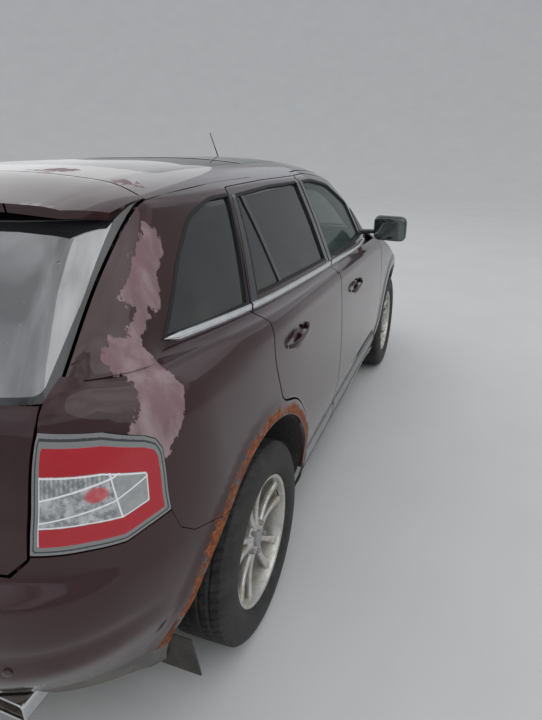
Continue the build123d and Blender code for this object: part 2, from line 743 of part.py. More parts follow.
with BuildPart() as grille:
    add(front_skin)
    low = (2000, SEAT_GAP - GRILLE_HALF, GRILLE_Z[0] + SEAT_GAP)
    add(box(low, (2500, GRILLE_HALF - SEAT_GAP, GRILLE_Z[1] - SEAT_GAP)), mode=Mode.INTERSECT)
    pitch = (GRILLE_Z[1] - GRILLE_Z[0] - GRILLE_BAR_H) / (GRILLE_BARS - 1)
    for bar in range(GRILLE_BARS - 1):
        z = GRILLE_Z[0] + GRILLE_BAR_H + bar * pitch
        slot = GRILLE_HALF - GRILLE_BAR_H
        add(box((2000, -slot, z), (2500, slot, z + pitch - GRILLE_BAR_H)), mode=Mode.SUBTRACT)
finish(grille.part, "grille")
with BuildPart() as headlamp:
    add(front_skin)
    add(front_prism(inset(HEADLAMP_FRONT, SEAT_GAP), HEADLAMP_BACK + SEAT_GAP, 2500), mode=Mode.INTERSECT)
    add(hood_gap, mode=Mode.SUBTRACT)
finish(with_mirror(headlamp.part), "headlamps")

# Rear bumper, with the ledge under the tailgate
with BuildPart() as rear_bumper:
    below = [(x, z - SEAT_GAP) for x, z in REAR_SEAM]
    seam_x = SEAM_X - SEAT_GAP
    zone = cross_prism(((-2500, 100), (-2500, below[0][1]), *below[:-1], (seam_x, 700), (seam_x, 100)))
    add(lower_skin)
    add(zone + front_prism(GATE_CENTRE, -2500, -1900), mode=Mode.INTERSECT)
    add(front_prism(GATE_OPEN, -2500, -1900), mode=Mode.SUBTRACT)
    add(arches, mode=Mode.SUBTRACT)
    (tip_x, tip_y, tip_z), (tip_front_x, tip_high_y, tip_high_z) = TIP
    notch_high = (-2000, tip_high_y + TIP_GAP, tip_high_z + TIP_GAP)
    add(box((-2500, tip_y - TIP_GAP, 100), notch_high), mode=Mode.SUBTRACT)
finish(rear_bumper.part, "rear_bumper")


# Wheel arch liners with mud flaps behind the wheels
liner_form = lower_form(LINER_INSET)
lean = atan2(BALL_Y - TOWER_Y, TOWER_Z - ARM_Z)
steer_length = sqrt((BALL_Y - TOWER_Y) ** 2 + (TOWER_Z - ARM_Z) ** 2)
steer_place = Location((FRONT_AXLE, -BALL_Y, ARM_Z), (-degrees(lean), 0, 0))
LINER_R = ARCH_R - SEAT_GAP


def lean_rod(radius, low, high):
    """A rod on the right wheel's steering axis, between two distances from the lower arm's middle."""
    with BuildPart() as rod:
        with Locations(steer_place * Location((0, 0, low))):
            Cylinder(radius, high - low, align=UPWARDS)
    return rod.part


def liner(x, y_in, flap_low):
    with BuildPart() as arch:
        add(cylinder_y(x, TYRE_R, LINER_R, -1100, -y_in))
        add(cylinder_y(x, TYRE_R, LINER_R - LINER_T, -1100, -y_in - LINER_T), mode=Mode.SUBTRACT)
        add(box((x - 600, -1100, 0), (x + 600, 0, LINER_LOW)), mode=Mode.SUBTRACT)
        add(liner_form, mode=Mode.INTERSECT)
    top_x = x - LINER_R + LINER_T / 2
    outline = (
        (top_x, LINER_LOW + 40), (top_x + FLAP_T, LINER_LOW + 40),
        (top_x + FLAP_REACH, flap_low), (top_x + FLAP_REACH - FLAP_T, flap_low),
    )
    return arch.part + side_polygon(outline, FLAP_IN, FLAP_OUT)


front_liner = liner(FRONT_AXLE, LINER_Y, FRONT_FLAP_Z) - lean_rod(STRUT_R + 8, 300, steer_length)
rear_liner = liner(REAR_AXLE, WELL_IN, REAR_FLAP_Z)
finish(with_mirror(front_liner + rear_liner), "arch_liners")

# Floor with its tunnel, load floor, bulkhead and the scuttle that carries the hood's hinges
floor_form = lower_form(WALL + SEAT_GAP)
scuttle_outline = (
    (SCUTTLE_X - 4, END_Y), (SCUTTLE_X - 104, 690), (SCUTTLE_X - 144, 690), (SCUTTLE_X - 44, END_Y),
)
with BuildPart() as floor_pan:
    add(floor_form & box((HEEL_X, -1000, FLOOR_Z), (BULKHEAD_X, 1000, FLOOR_Z + FLOOR_T)))
    add(box((HEEL_X, -TUNNEL_HALF, FLOOR_Z), (BULKHEAD_X, TUNNEL_HALF, TUNNEL_TOP)))
    add(box((HEEL_X, -TRUNK_HALF, FLOOR_Z), (HEEL_X + FLOOR_T, TRUNK_HALF, TRUNK_Z)))
    add(box((TRUNK_END, -TRUNK_HALF, TRUNK_Z - FLOOR_T), (HEEL_X + FLOOR_T, TRUNK_HALF, TRUNK_Z)))
    add(box((TRUNK_END, -TRUNK_HALF, REAR_PANEL_Z), (TRUNK_END + BULKHEAD_T, TRUNK_HALF, TRUNK_Z)))
    for side in (-1, 1):
        ends = sorted((side * (TRUNK_HALF - REAR_RAIL_W), side * TRUNK_HALF))
        add(box((TRUNK_END, ends[0], REAR_RAIL_Z), (HEEL_X, ends[1], TRUNK_Z)))
    add(box((BULKHEAD_X, -BULKHEAD_HALF, FLOOR_Z), (BULKHEAD_X + BULKHEAD_T, BULKHEAD_HALF, SCUTTLE_Z)))
    add(box((BULKHEAD_X, -SCUTTLE_HALF, SCUTTLE_Z - SCUTTLE_T), (SCUTTLE_X, SCUTTLE_HALF, SCUTTLE_Z)))
    lip_low, lip_high = SCUTTLE_LIP
    add(box((lip_low[0], -lip_low[1], SCUTTLE_Z - SCUTTLE_T), (lip_high[0], lip_high[1], SCUTTLE_Z)))
    add(plan_prism(mirrored_loop(scuttle_outline), SCUTTLE_Z - EPS, WINDSHIELD_BASE - SEAT_GAP))
    for y in (-LID_HINGE_Y, LID_HINGE_Y):
        add(lid_hinge(*HOOD_HINGE, y, HOOD_DROP, -1)[0])
    inner = TUNNEL_HALF - FLOOR_T
    tunnel_high = (BULKHEAD_X + BULKHEAD_T + EPS, inner, TUNNEL_TOP - FLOOR_T)
    add(box((HEEL_X - EPS, -inner, FLOOR_Z - EPS), tunnel_high), mode=Mode.SUBTRACT)
    add(cylinder_y(REAR_AXLE, TYRE_R, ARCH_R + EPS, -1100, -WELL_IN + EPS), mode=Mode.SUBTRACT)
    add(cylinder_y(REAR_AXLE, TYRE_R, ARCH_R + EPS, WELL_IN - EPS, 1100), mode=Mode.SUBTRACT)
finish(floor_pan.part, "floor_pan")

# Front seats, rear bench and dashboard
floor_top = FLOOR_Z + FLOOR_T + SEAT_GAP
(seat_rear, seat_in), (seat_front, seat_out) = SEAT_PLAN
with BuildPart() as cushion:
    add(box((seat_rear, seat_in, SEAT_BASE_Z[0]), (seat_front, seat_out, SEAT_BASE_Z[1])))
    fillet(cushion.edges().filter_by(Axis.Z), 60)
with BuildPart() as seat_back:
    add(box(*SEAT_BACK))
    fillet(seat_back.edges().filter_by(Axis.X), 50)
with BuildPart() as headrest:
    add(box(*HEADREST))
    fillet(headrest.edges().filter_by(Axis.X), 40)
with BuildPart() as front_seat:
    add(cushion.part + seat_back.part + headrest.part)
    for low, high in HEADREST_POSTS:
        add(box(low, high))
    add(box((seat_rear + SEAT_FOOT, seat_in + SEAT_FOOT, floor_top),
            (seat_front - SEAT_FOOT, seat_out - SEAT_FOOT, SEAT_BASE_Z[0] + EPS)))
finish(with_mirror(front_seat.part), "front_seats")
with BuildPart() as rear_bench:
    for low, high in BENCH:
        add(box(low, high))
    for low, high in BENCH_FEET:
        add(box((low[0], low[1], floor_top), (high[0], high[1], BENCH[0][0][2] + EPS)))
finish(rear_bench.part, "rear_bench")
with BuildPart() as dashboard:
    add(box(*DASH_BOX))
    fillet(dashboard.edges().filter_by(Axis.Y), 60)
    add(box(*CONSOLE_BOX))
    (console_x, console_y, console_z), (console_front, console_side, console_top) = CONSOLE_BOX
    add(box((console_x, console_y, TUNNEL_TOP + SEAT_GAP), (console_front, console_side, console_z + EPS)))
    tilt = radians(WHEEL_TILT)
    with Locations(Plane(origin=WHEEL_CENTRE, x_dir=(0, 1, 0), z_dir=(-sin(tilt), 0, cos(tilt))).location):
        Torus(WHEEL_R, WHEEL_RIM_R)
        Cylinder(2 * COLUMN_R, 40)
        for angle in (0, 180, 270):
            with Locations(Location((0, 0, 0), (0, 0, angle))):
                Box(WHEEL_R, WHEEL_SPOKE_W, 16, align=(Align.MIN, Align.CENTER, Align.CENTER))
        Cylinder(COLUMN_R, COLUMN_L, align=(Align.CENTER, Align.CENTER, Align.MAX))
finish(dashboard.part, "dashboard")

# Engine, tank and exhaust
with BuildPart() as engine:
    add(box(*ENGINE_BOX))
    chamfer(engine.edges().filter_by(Axis.X), 40)
    add(box(*SUMP_BOX))
finish(engine.part, "engine_block")
with BuildPart() as tank:
    add(box(*TANK_BOX))
    fillet(tank.edges().filter_by(Axis.Z), 50)
finish(tank.part, "fuel_tank")
with BuildPart() as exhaust:
    with BuildLine():
        FilletPolyline(*PIPE, radius=open_radii(PIPE))
    with BuildSketch(Plane(origin=PIPE[0], z_dir=(0, 0, -1))):
        Circle(PIPE_R)
    sweep()
    add(box(*SILENCER))
    add(box(*HANGER))
    (tip_rear, tip_low_y, tip_low_z), (tip_front, tip_high_y, tip_high_z) = TIP
    add(box(*TIP))
    add(box((tip_rear - EPS, tip_low_y + TIP_WALL, tip_low_z + TIP_WALL),
            (SILENCER[0][0] - EPS, tip_high_y - TIP_WALL, tip_high_z - TIP_WALL)), mode=Mode.SUBTRACT)
finish(exhaust.part, "exhaust_system")

# Front frame: rails, aprons with the strut towers, cross members, radiator and the lower arms
with BuildPart() as front_half:
    add(box((BULKHEAD_X + BULKHEAD_T + SEAT_GAP, -RAIL_Y[1], RAIL_Z[0]), (RAIL_END, -RAIL_Y[0], RAIL_Z[1])))
    add(box((CROSS_POST[0], -RAIL_Y[1], CROSS_BOX[0][2]), (CROSS_POST[1], -RAIL_Y[0], RAIL_Z[0] + EPS)))
    apron = -LINER_Y + SEAT_GAP
    add(box((APRON_X[0], apron, RAIL_Z[1] - EPS), (APRON_X[1], apron + APRON_T, TOWER_Z + TOWER_T)))
    tower_low = (FRONT_AXLE - TOWER_HALF, -TOWER_Y - TOWER_HALF, TOWER_Z)
    add(box(tower_low, (FRONT_AXLE + TOWER_HALF, apron, TOWER_Z + TOWER_T)))
    add(lean_rod(STRUT_TOP_R + PIN_GAP, steer_length - 100, steer_length + 100), mode=Mode.SUBTRACT)
    arm_low = (FRONT_AXLE - ARM_W / 2, -BALL_Y, ARM_Z - ARM_T / 2)
    add(box(arm_low, (FRONT_AXLE + ARM_W / 2, -RAIL_Y[0], ARM_Z + ARM_T / 2)))
    add(lean_rod(BOSS_R, -ARM_T / 2, ARM_T / 2))
    add(lean_rod(BALL_R, 0, ARM_T / 2 + BALL_L))
with BuildPart() as front_frame:
    add(with_mirror(front_half.part))
    add(box(*CROSS_BOX))
    add(box(*SUMP_PAD))
    add(box(*RADIATOR))
    add(box((RADIATOR[0][0] - EPS, *RADIATOR_CORE[0][1:]), (RADIATOR[1][0] + EPS, *RADIATOR_CORE[1][1:])),
        mode=Mode.SUBTRACT)
    add(box(*RADIATOR_CORE))
    add(box(*BEAM_BOX))
finish(front_frame.part, "front_frame")


def carrier(x):
    """The right side's hub carrier and spindle at an axle, with its brake caliper."""
    with BuildPart() as part:
        add(box((x - CARRIER_W / 2, -CARRIER_OUT, ARM_Z + ARM_T / 2 + 4 * MOVE_GAP),
                (x + CARRIER_W / 2, -CARRIER_IN, HUB_Z + CARRIER_H)))
        add(cylinder_y(x, HUB_Z, STUB_R, -STUB_OUT, -CARRIER_IN))
        add(cylinder_y(x, HUB_Z, BORE_R - PIN_GAP, -SPINDLE_END, -CARRIER_IN))
        caliper = box((x + CALIPER_X[0], -CALIPER_Y[1], HUB_Z - CALIPER_H / 2),
                      (x + CALIPER_X[1], -CALIPER_Y[0], HUB_Z + CALIPER_H / 2))
        disc_gap = cylinder_y(x, HUB_Z, DISC_R + MOVE_GAP, -DISC_Y - DISC_T - MOVE_GAP, -DISC_Y + MOVE_GAP)
        add(caliper - disc_gap)
        add(box((x + CALIPER_X[0], -CALIPER_Y[0] - EPS, HUB_Z - CARRIER_W / 3),
                (x, -CALIPER_Y[0] + FLOOR_T, HUB_Z + CARRIER_W / 3)))
    return part.part


# Rear frame with fixed hub carriers, dampers and arms, under the load floor's rails
HUB_BACK = TRACK / 2 + HUB_OFFSET
SPINDLE_END = HUB_BACK + SPOKE_T - CAP_T - MOVE_GAP
damper_top = HUB_Z + sqrt((LINER_R - LINER_T) ** 2 - (abs(DAMPER_X) + STRUT_R) ** 2) - SEAT_GAP
with BuildPart() as rear_half:
    add(carrier(REAR_AXLE))
    for arm_x in REAR_ARMS:
        low_x = REAR_AXLE + arm_x
        add(box((low_x, -CARRIER_OUT, ARM_Z - ARM_T / 2), (low_x + REAR_ARM_W, -400, ARM_Z + ARM_T / 2)))
    add(box((REAR_AXLE + REAR_ARMS[0], -CARRIER_OUT, ARM_Z - ARM_T / 2),
            (REAR_AXLE + REAR_ARMS[1] + REAR_ARM_W, -CARRIER_IN, ARM_Z + ARM_T + 4 * MOVE_GAP)))
    post_low = (REAR_POST[0], -TRUNK_HALF, REAR_CROSS[0][2])
    add(box(post_low, (REAR_POST[1], -TRUNK_HALF + REAR_RAIL_W, REAR_RAIL_Z - SEAT_GAP)))
    with Locations((REAR_AXLE + DAMPER_X, -DAMPER_Y, ARM_Z)):
        Cylinder(STRUT_R, damper_top - ARM_Z, align=UPWARDS)
with BuildPart() as rear_frame:
    add(with_mirror(rear_half.part))
    add(box(*REAR_CROSS))
finish(rear_frame.part, "rear_frame")

# Steered hub carriers, each with its strut on the steering axis
ball_seat = ARM_T / 2 + MOVE_GAP
strut_foot = (HUB_Z + CARRIER_H / 2 - ARM_Z) / cos(lean)
with BuildPart() as knuckle:
    add(carrier(FRONT_AXLE))
    add(lean_rod(BOSS_R, ball_seat, strut_foot))
    add(lean_rod(STRUT_R, strut_foot, steer_length - MOVE_GAP))
    add(lean_rod(STRUT_TOP_R, steer_length - 2 * MOVE_GAP, steer_length + TOWER_T + MOVE_GAP))
    add(lean_rod(BALL_R + PIN_GAP, 0, ARM_T / 2 + BALL_L + MOVE_GAP), mode=Mode.SUBTRACT)
finish_pair(knuckle.part, "knuckle")

# Wheels: a tyre and a rim with its brake disc on the right side, mirrored to the left
half_rim = RIM_W / 2
half_tyre = TYRE_W / 2
for end, axle_x in (("front", FRONT_AXLE), ("rear", REAR_AXLE)):
    axis = Axis((axle_x, 0, HUB_Z), (0, 1, 0))
    section = Plane(origin=(axle_x, -TRACK / 2, HUB_Z), x_dir=(0, -1, 0), z_dir=(1, 0, 0))
    bead = half_rim - SEAT_GAP
    profile = [
        (bead, RIM_R + SEAT_GAP), (bead, RIM_R + RIM_LIP + 3), (half_tyre, RIM_R + BULGE_H),
        (half_tyre - 4, TYRE_R - SHOULDER_H), (TREAD_HALF, TYRE_R),
    ]
    profile += [(-y, r) for y, r in reversed(profile)]
    with BuildPart() as tyre:
        with BuildSketch(section):
            with BuildLine():
                FilletPolyline(*profile, radius=[2, 30, 18, 24, 24, 18, 30, 2])
                Line(profile[-1], profile[0])
            make_face()
        revolve(axis=axis)
    with BuildPart() as rim:
        with BuildSketch(section):
            with Locations((0, RIM_R - RIM_WALL / 2)):
                Rectangle(RIM_W, RIM_WALL)
            for y in (-half_rim - RIM_LIP_T / 2, half_rim + RIM_LIP_T / 2):
                with Locations((y, RIM_R)):
                    Rectangle(RIM_LIP_T, 2 * RIM_LIP)
        revolve(axis=axis)
        hub_plane = Plane(origin=(axle_x, -HUB_BACK, HUB_Z), x_dir=(1, 0, 0), z_dir=(0, -1, 0))
        with BuildSketch(hub_plane):
            Circle(HUB_R)
            for spoke in range(SPOKES):
                angle = 90 + spoke * 360 / SPOKES
                for side in (-1, 1):
                    with Locations(Location((0, 0, 0), (0, 0, angle + side * SPOKE_SPREAD))):
                        with Locations((RIM_R / 2, 0)):
                            Rectangle(RIM_R - RIM_WALL, SPOKE_W)
        extrude(amount=SPOKE_T)
        with BuildSketch(hub_plane.offset(SPOKE_T)):
            with PolarLocations(LUG_PCD / 2, LUGS):
                RegularPolygon(LUG_R, 6)
            Circle(CAP_R)
        extrude(amount=LUG_H)
        add(cylinder_y(axle_x, HUB_Z, DISC_R, -DISC_Y - DISC_T, -DISC_Y))
        add(cylinder_y(axle_x, HUB_Z, HUB_R, -HUB_BACK - EPS, -DISC_Y))
        add(cylinder_y(axle_x, HUB_Z, BORE_R, -HUB_BACK - SPOKE_T + CAP_T, -DISC_Y + EPS), mode=Mode.SUBTRACT)
    finish_pair(tyre.part, f"tyre_{end}")
    finish_pair(rim.part, f"rim_{end}")
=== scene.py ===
"""Looks of the crossover SUV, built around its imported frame: smooth body panels, glass, lamps,
wheels and trim."""

import json
import logging
import math
from dataclasses import dataclass, field
from enum import Enum
from typing import Callable, Optional, Sequence, Union

import bmesh
import bpy
import numpy as np
from mathutils import Matrix, Vector
from mathutils.geometry import delaunay_2d_cdt

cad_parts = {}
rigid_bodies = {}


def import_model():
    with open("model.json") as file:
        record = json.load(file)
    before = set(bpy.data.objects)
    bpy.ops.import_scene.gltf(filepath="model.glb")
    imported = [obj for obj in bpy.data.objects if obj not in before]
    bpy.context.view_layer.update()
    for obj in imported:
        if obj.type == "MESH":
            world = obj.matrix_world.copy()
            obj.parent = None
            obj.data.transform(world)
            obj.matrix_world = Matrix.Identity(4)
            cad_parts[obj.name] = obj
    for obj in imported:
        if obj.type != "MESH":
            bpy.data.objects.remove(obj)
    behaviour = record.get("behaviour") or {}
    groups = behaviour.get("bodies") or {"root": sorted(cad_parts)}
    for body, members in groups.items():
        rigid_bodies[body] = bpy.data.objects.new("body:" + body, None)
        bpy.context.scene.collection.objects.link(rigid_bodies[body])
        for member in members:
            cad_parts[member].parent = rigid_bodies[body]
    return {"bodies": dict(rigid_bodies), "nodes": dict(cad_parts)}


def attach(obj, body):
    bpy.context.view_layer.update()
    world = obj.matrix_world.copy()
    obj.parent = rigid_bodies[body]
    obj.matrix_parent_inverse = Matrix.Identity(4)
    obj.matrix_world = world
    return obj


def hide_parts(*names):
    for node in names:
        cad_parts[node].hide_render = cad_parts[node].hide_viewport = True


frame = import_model()
log = logging.getLogger("suv")
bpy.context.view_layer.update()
MM = 0.001
Points = np.ndarray
TINY = 1e-9
OUTLINE_SAMPLES = 6000
RISE_PASSES, HALVINGS, OVER_HALVINGS = 4, 30, 28
OVER_NOSE_Y = 680
ROW_PITCH = 0.866
WELD_GRID = 1e5


class Side(Enum):
    """Where a piece lies: a mirrored pair, or one piece across the middle."""

    PAIR = "pair"
    CENTRE = "centre"


# Shader graphs and finishes


class Signal:
    """One shader value whose operators add Math nodes to its graph."""

    def __init__(self, graph: "Graph", socket: bpy.types.NodeSocket) -> None:
        """Keeps the graph and the output socket."""
        self.graph = graph
        self.socket = socket

    def _math(self, operation: str, *values: Union["Signal", float]) -> "Signal":
        """Adds a Math node of the operation over the values."""
        return self.graph.node("ShaderNodeMath", {"operation": operation}, dict(enumerate(values)))

    def __add__(self, other: Union["Signal", float]) -> "Signal":
        """The sum."""
        return self._math("ADD", self, other)

    def __radd__(self, other: float) -> "Signal":
        """The reflected sum."""
        return self._math("ADD", other, self)

    def __sub__(self, other: Union["Signal", float]) -> "Signal":
        """The difference."""
        return self._math("SUBTRACT", self, other)

    def __rsub__(self, other: float) -> "Signal":
        """The reflected difference."""
        return self._math("SUBTRACT", other, self)

    def __mul__(self, other: Union["Signal", float]) -> "Signal":
        """The product."""
        return self._math("MULTIPLY", self, other)

    def __rmul__(self, other: float) -> "Signal":
        """The reflected product."""
        return self._math("MULTIPLY", other, self)

    def __truediv__(self, other: Union["Signal", float]) -> "Signal":
        """The quotient."""
        return self._math("DIVIDE", self, other)

    def __pow__(self, other: Union["Signal", float]) -> "Signal":
        """The power."""
        return self._math("POWER", self, other)

    def wave(self) -> "Signal":
        """The value's sine, moved to between 0 and 1."""
        return self._math("SINE", self) * 0.5 + 0.5

    def step(self, low: float, high: float, start: float = 0.0, end: float = 1.0) -> "Signal":
        """A smooth ramp from start at low to end at high."""
        settings = {"interpolation_type": "SMOOTHSTEP", "clamp": True}
        return self.graph.node("ShaderNodeMapRange", settings,
                               {0: self, 1: low, 2: high, 3: start, 4: end})


class Graph:
    """A material's node tree with one Principled shader."""

    def __init__(self, name: str) -> None:
        """Makes the material and clears its nodes."""
        self.material = bpy.data.materials.new(name)
        self.material.use_nodes = True
        self.tree = self.material.node_tree
        self.tree.nodes.clear()
        self.shader = self.tree.nodes.new("ShaderNodeBsdfPrincipled")
        output = self.tree.nodes.new("ShaderNodeOutputMaterial")
        self.tree.links.new(self.shader.outputs[0], output.inputs[0])
        self.place = self.node("ShaderNodeTexCoord", {}, {}, "Object")

    def node(self, kind: str, settings: dict, inputs: dict, output: Union[int, str] = 0) -> Signal:
        """Adds a node.

        Args:
            kind: the node's type.
            settings: its properties, set first; a ramp's stops come as "stops".
            inputs: values or signals by socket name or number.
            output: the output socket that is returned.

        Returns:
            The output as a signal.
        """
        made = self.tree.nodes.new(kind)
        for key, value in settings.items():
            if key == "stops":
                ramp = made.color_ramp
                while len(ramp.elements) < len(value):
                    ramp.elements.new(0.5)
                for element, (position, colour) in zip(ramp.elements, value):
                    element.position = position
                    element.color = colour
            else:
                setattr(made, key, value)
        for key, value in inputs.items():
            if isinstance(value, Signal):
                self.tree.links.new(value.socket, made.inputs[key])
            else:
                made.inputs[key].default_value = value
        return Signal(self, made.outputs[output])

    def noise(self, scale: float, detail: float = 3.0, roughness: float = 0.55,
              stretch: tuple = (1, 1, 1)) -> Signal:
        """A noise value from 0 to 1 over the object's own coordinates, in features per metre."""
        place = self.node("ShaderNodeMapping", {}, {"Vector": self.place, "Scale": stretch})
        return self.node("ShaderNodeTexNoise", {},
                         {"Vector": place, "Scale": scale, "Detail": detail,
                          "Roughness": roughness})

    def axes(self) -> tuple[Signal, Signal, Signal]:
        """The object's x, y and z as signals."""
        made = self.tree.nodes.new("ShaderNodeSeparateXYZ")
        self.tree.links.new(self.place.socket, made.inputs[0])
        return tuple(Signal(self, made.outputs[i]) for i in range(3))

    def mix(self, mask: Union[Signal, float], low: Union[Signal, tuple],
            high: Union[Signal, tuple]) -> Signal:
        """Mixes two colours by the mask."""
        values = [value if isinstance(value, Signal) else (*value[:3], 1.0)
                  for value in (low, high)]
        return self.node("ShaderNodeMix", {"data_type": "RGBA"},
                         {0: mask, 6: values[0], 7: values[1]}, 2)

    def set(self, **sockets: Union[Signal, float, tuple]) -> None:
        """Sets or links the shader's sockets, underscores standing for spaces."""
        for key, value in sockets.items():
            socket = self.shader.inputs[key.replace("_", " ")]
            if isinstance(value, Signal):
                self.tree.links.new(value.socket, socket)
            else:
                socket.default_value = (*value,
                                        1.0) if isinstance(value,
                                                           tuple) and len(value) == 3 else value

    def bump(self, height: Signal, distance: float, strength: float = 1.0) -> None:
        """Feeds a height through a Bump node to the shader's normal."""
        made = self.node("ShaderNodeBump", {},
                         {"Height": height, "Distance": distance, "Strength": strength})
        self.set(Normal=made)


@dataclass(frozen=True)
class Finish:
    """A plain finish with mottled colour, varied roughness and a fine surface grain."""

    name: str
    colour: tuple
    roughness: float = 0.5
    metallic: float = 0.0
    coat: float = 0.0
    alpha: float = 1.0
    mottle: float = 0.15
    mottle_scale: float = 25.0
    grain: float = 0.0
    grain_scale: float = 900.0
    dust: float = 0.0
    glow: float = 0.0
    specular: float = 0.5

    def build(self) -> bpy.types.Material:
        """The material: noise shifts the colour and roughness, dust gathers low down, and grain is
        a bump."""
        graph = Graph(self.name)
        noise = graph.noise(self.mottle_scale, 4.0)
        dark = tuple(c * (1.0 - self.mottle) for c in self.colour)
        light = tuple(min(1.0, c * (1.0 + self.mottle)) for c in self.colour)
        colour = graph.mix(noise.step(0.3, 0.7), dark, light)
        rough = noise * 0.16 + (self.roughness - 0.08)
        if self.dust:
            z = graph.axes()[2]
            low = z.step(0.75, 0.1) * graph.noise(7.0, 5.0).step(0.25, 0.75) * self.dust
            colour = graph.mix(low, colour, (0.30, 0.26, 0.20))
            rough = rough + low * 0.4
        graph.set(Base_Color=colour, Roughness=rough, Metallic=self.metallic, Coat_Weight=self.coat,
                  Alpha=self.alpha)
        graph.set(Specular_IOR_Level=self.specular, Coat_Roughness=0.03)
        if self.glow:
            graph.set(Emission_Color=self.colour, Emission_Strength=self.glow)
        if self.grain:
            graph.bump(graph.noise(self.grain_scale, 2.0), self.grain * MM)
        return graph.material


@dataclass(frozen=True)
class PaintFinish:
    """The body's paint: metallic flakes under clearcoat, peeled patches, road dust low down and
    rusty rear arches."""

    name: str = "body_paint"
    colour: tuple = (0.025, 0.0036, 0.0055)
    flake: tuple = (0.064, 0.0095, 0.0145)
    peeled: tuple = (0.215, 0.135, 0.148)
    peeled_pale: tuple = (0.330, 0.250, 0.262)
    shade: tuple = (0.050, 0.008, 0.012)
    dust: tuple = (0.20, 0.165, 0.13)
    rust: tuple = (0.36, 0.105, 0.028)
    rust_dark: tuple = (0.12, 0.035, 0.015)
    arch: tuple = (-1.401, 0.375)
    pillar: tuple = (-1.76, 1.33)

    def peel(self, graph: Graph) -> Signal:
        """Where the clearcoat has peeled off: ragged patches, mostly down the rear pillars and
        their feet."""
        x, _, z = graph.axes()
        lean = x - self.pillar[0] - (z - self.pillar[1]) * 0.75
        away = ((lean / 0.13) ** 2.0 + ((z - self.pillar[1]) / 0.30) ** 2.0) ** 0.5
        field = graph.noise(3.1, 9.0, 0.62, (1.0, 1.0, 0.6)) + away.step(1.5, 0.3) * 0.26
        return field.step(0.680, 0.688)

    def rusted(self, graph: Graph) -> Signal:
        """Where rust has eaten the rear arches' lips."""
        x, _, z = graph.axes()
        radius = ((x - self.arch[0]) ** 2.0 + (z - self.arch[1]) ** 2.0) ** 0.5
        ragged = graph.noise(24.0, 7.0, 0.68)
        band = (radius + (ragged - 0.5) * 0.095).step(0.527, 0.519) * radius.step(0.482, 0.486)
        return band * x.step(-0.8, -0.95) * graph.noise(11.0, 5.0).step(0.38, 0.44)

    def build(self) -> bpy.types.Material:
        """The material: flakes by fine noise, then peeled patches, dust by height and rust round
        the wheel."""
        graph = Graph(self.name)
        z = graph.axes()[2]
        flakes = graph.noise(1400.0, 1.0).step(0.45, 0.8)
        colour = graph.mix(flakes * 0.6, self.colour, self.flake)
        colour = graph.mix(graph.noise(3.0, 3.0).step(0.35, 0.75) * 0.3, colour, self.shade)
        peel = self.peel(graph)
        bare = graph.mix(graph.noise(16.0, 7.0, 0.6, (1.0, 1.0, 0.4)).step(0.38, 0.72), self.peeled,
                         self.peeled_pale)
        colour = graph.mix(peel, colour, bare)
        dirt = z.step(0.72, 0.22) * graph.noise(9.0, 6.0).step(0.3, 0.75) * 0.45
        colour = graph.mix(dirt, colour, self.dust)
        rust = self.rusted(graph)
        tone = graph.mix(graph.noise(60.0, 5.0).step(0.35, 0.7), self.rust_dark, self.rust)
        colour = graph.mix(rust, colour, tone)
        smooth = (1.0 - peel) * (1.0 - rust)
        graph.set(Base_Color=colour, Roughness=0.62 - smooth * 0.30 + dirt * 0.3,
                  Metallic=smooth * 0.35)
        graph.set(Coat_Weight=smooth * (1.0 - dirt * 0.6), Coat_Roughness=0.03,
                  Specular_IOR_Level=0.25)
        graph.bump(graph.noise(80.0, 5.0) * rust + flakes * 0.01 - peel * 0.12, 1.5 * MM)
        return graph.material


def unit(vectors: Points) -> Points:
    """The vectors at length one; those next to nothing stay so."""
    return vectors / np.maximum(np.linalg.norm(vectors, axis=1), TINY)[:, None]


def monotone(heights: Points, table: Points, z: Points) -> Points:
    """Each column of the table at the heights z, by a cubic through the rows whose slopes never
    overshoot.

    Args:
        heights: the rows' heights, rising.
        table: one row of values per height.
        z: the heights that are asked for.

    Returns:
        One row of values per asked height.
    """
    gaps = np.diff(heights)[:, None]
    slope = np.diff(table, axis=0) / gaps
    before, after = slope[:-1], slope[1:]
    same = before * after > 0
    w1, w2 = 2 * gaps[1:] + gaps[:-1], gaps[1:] + 2 * gaps[:-1]
    safe_before, safe_after = np.where(same, before, 1.0), np.where(same, after, 1.0)
    inner = np.where(same, (w1 + w2) / (w1 / safe_before + w2 / safe_after), 0.0)
    tangent = np.vstack([slope[:1], inner, slope[-1:]])
    i = np.clip(np.searchsorted(heights, z) - 1, 0, len(heights) - 2)
    f = ((z - heights[i]) / gaps[i, 0])[:, None]
    rise = (1 + 2 * f) * (1 - f) ** 2 * table[i] + f * (1 - f) ** 2 * gaps[i] * tangent[i]
    return rise + f**2 * (3 - 2 * f) * table[i + 1] + f**2 * (f - 1) * gaps[i] * tangent[i + 1]


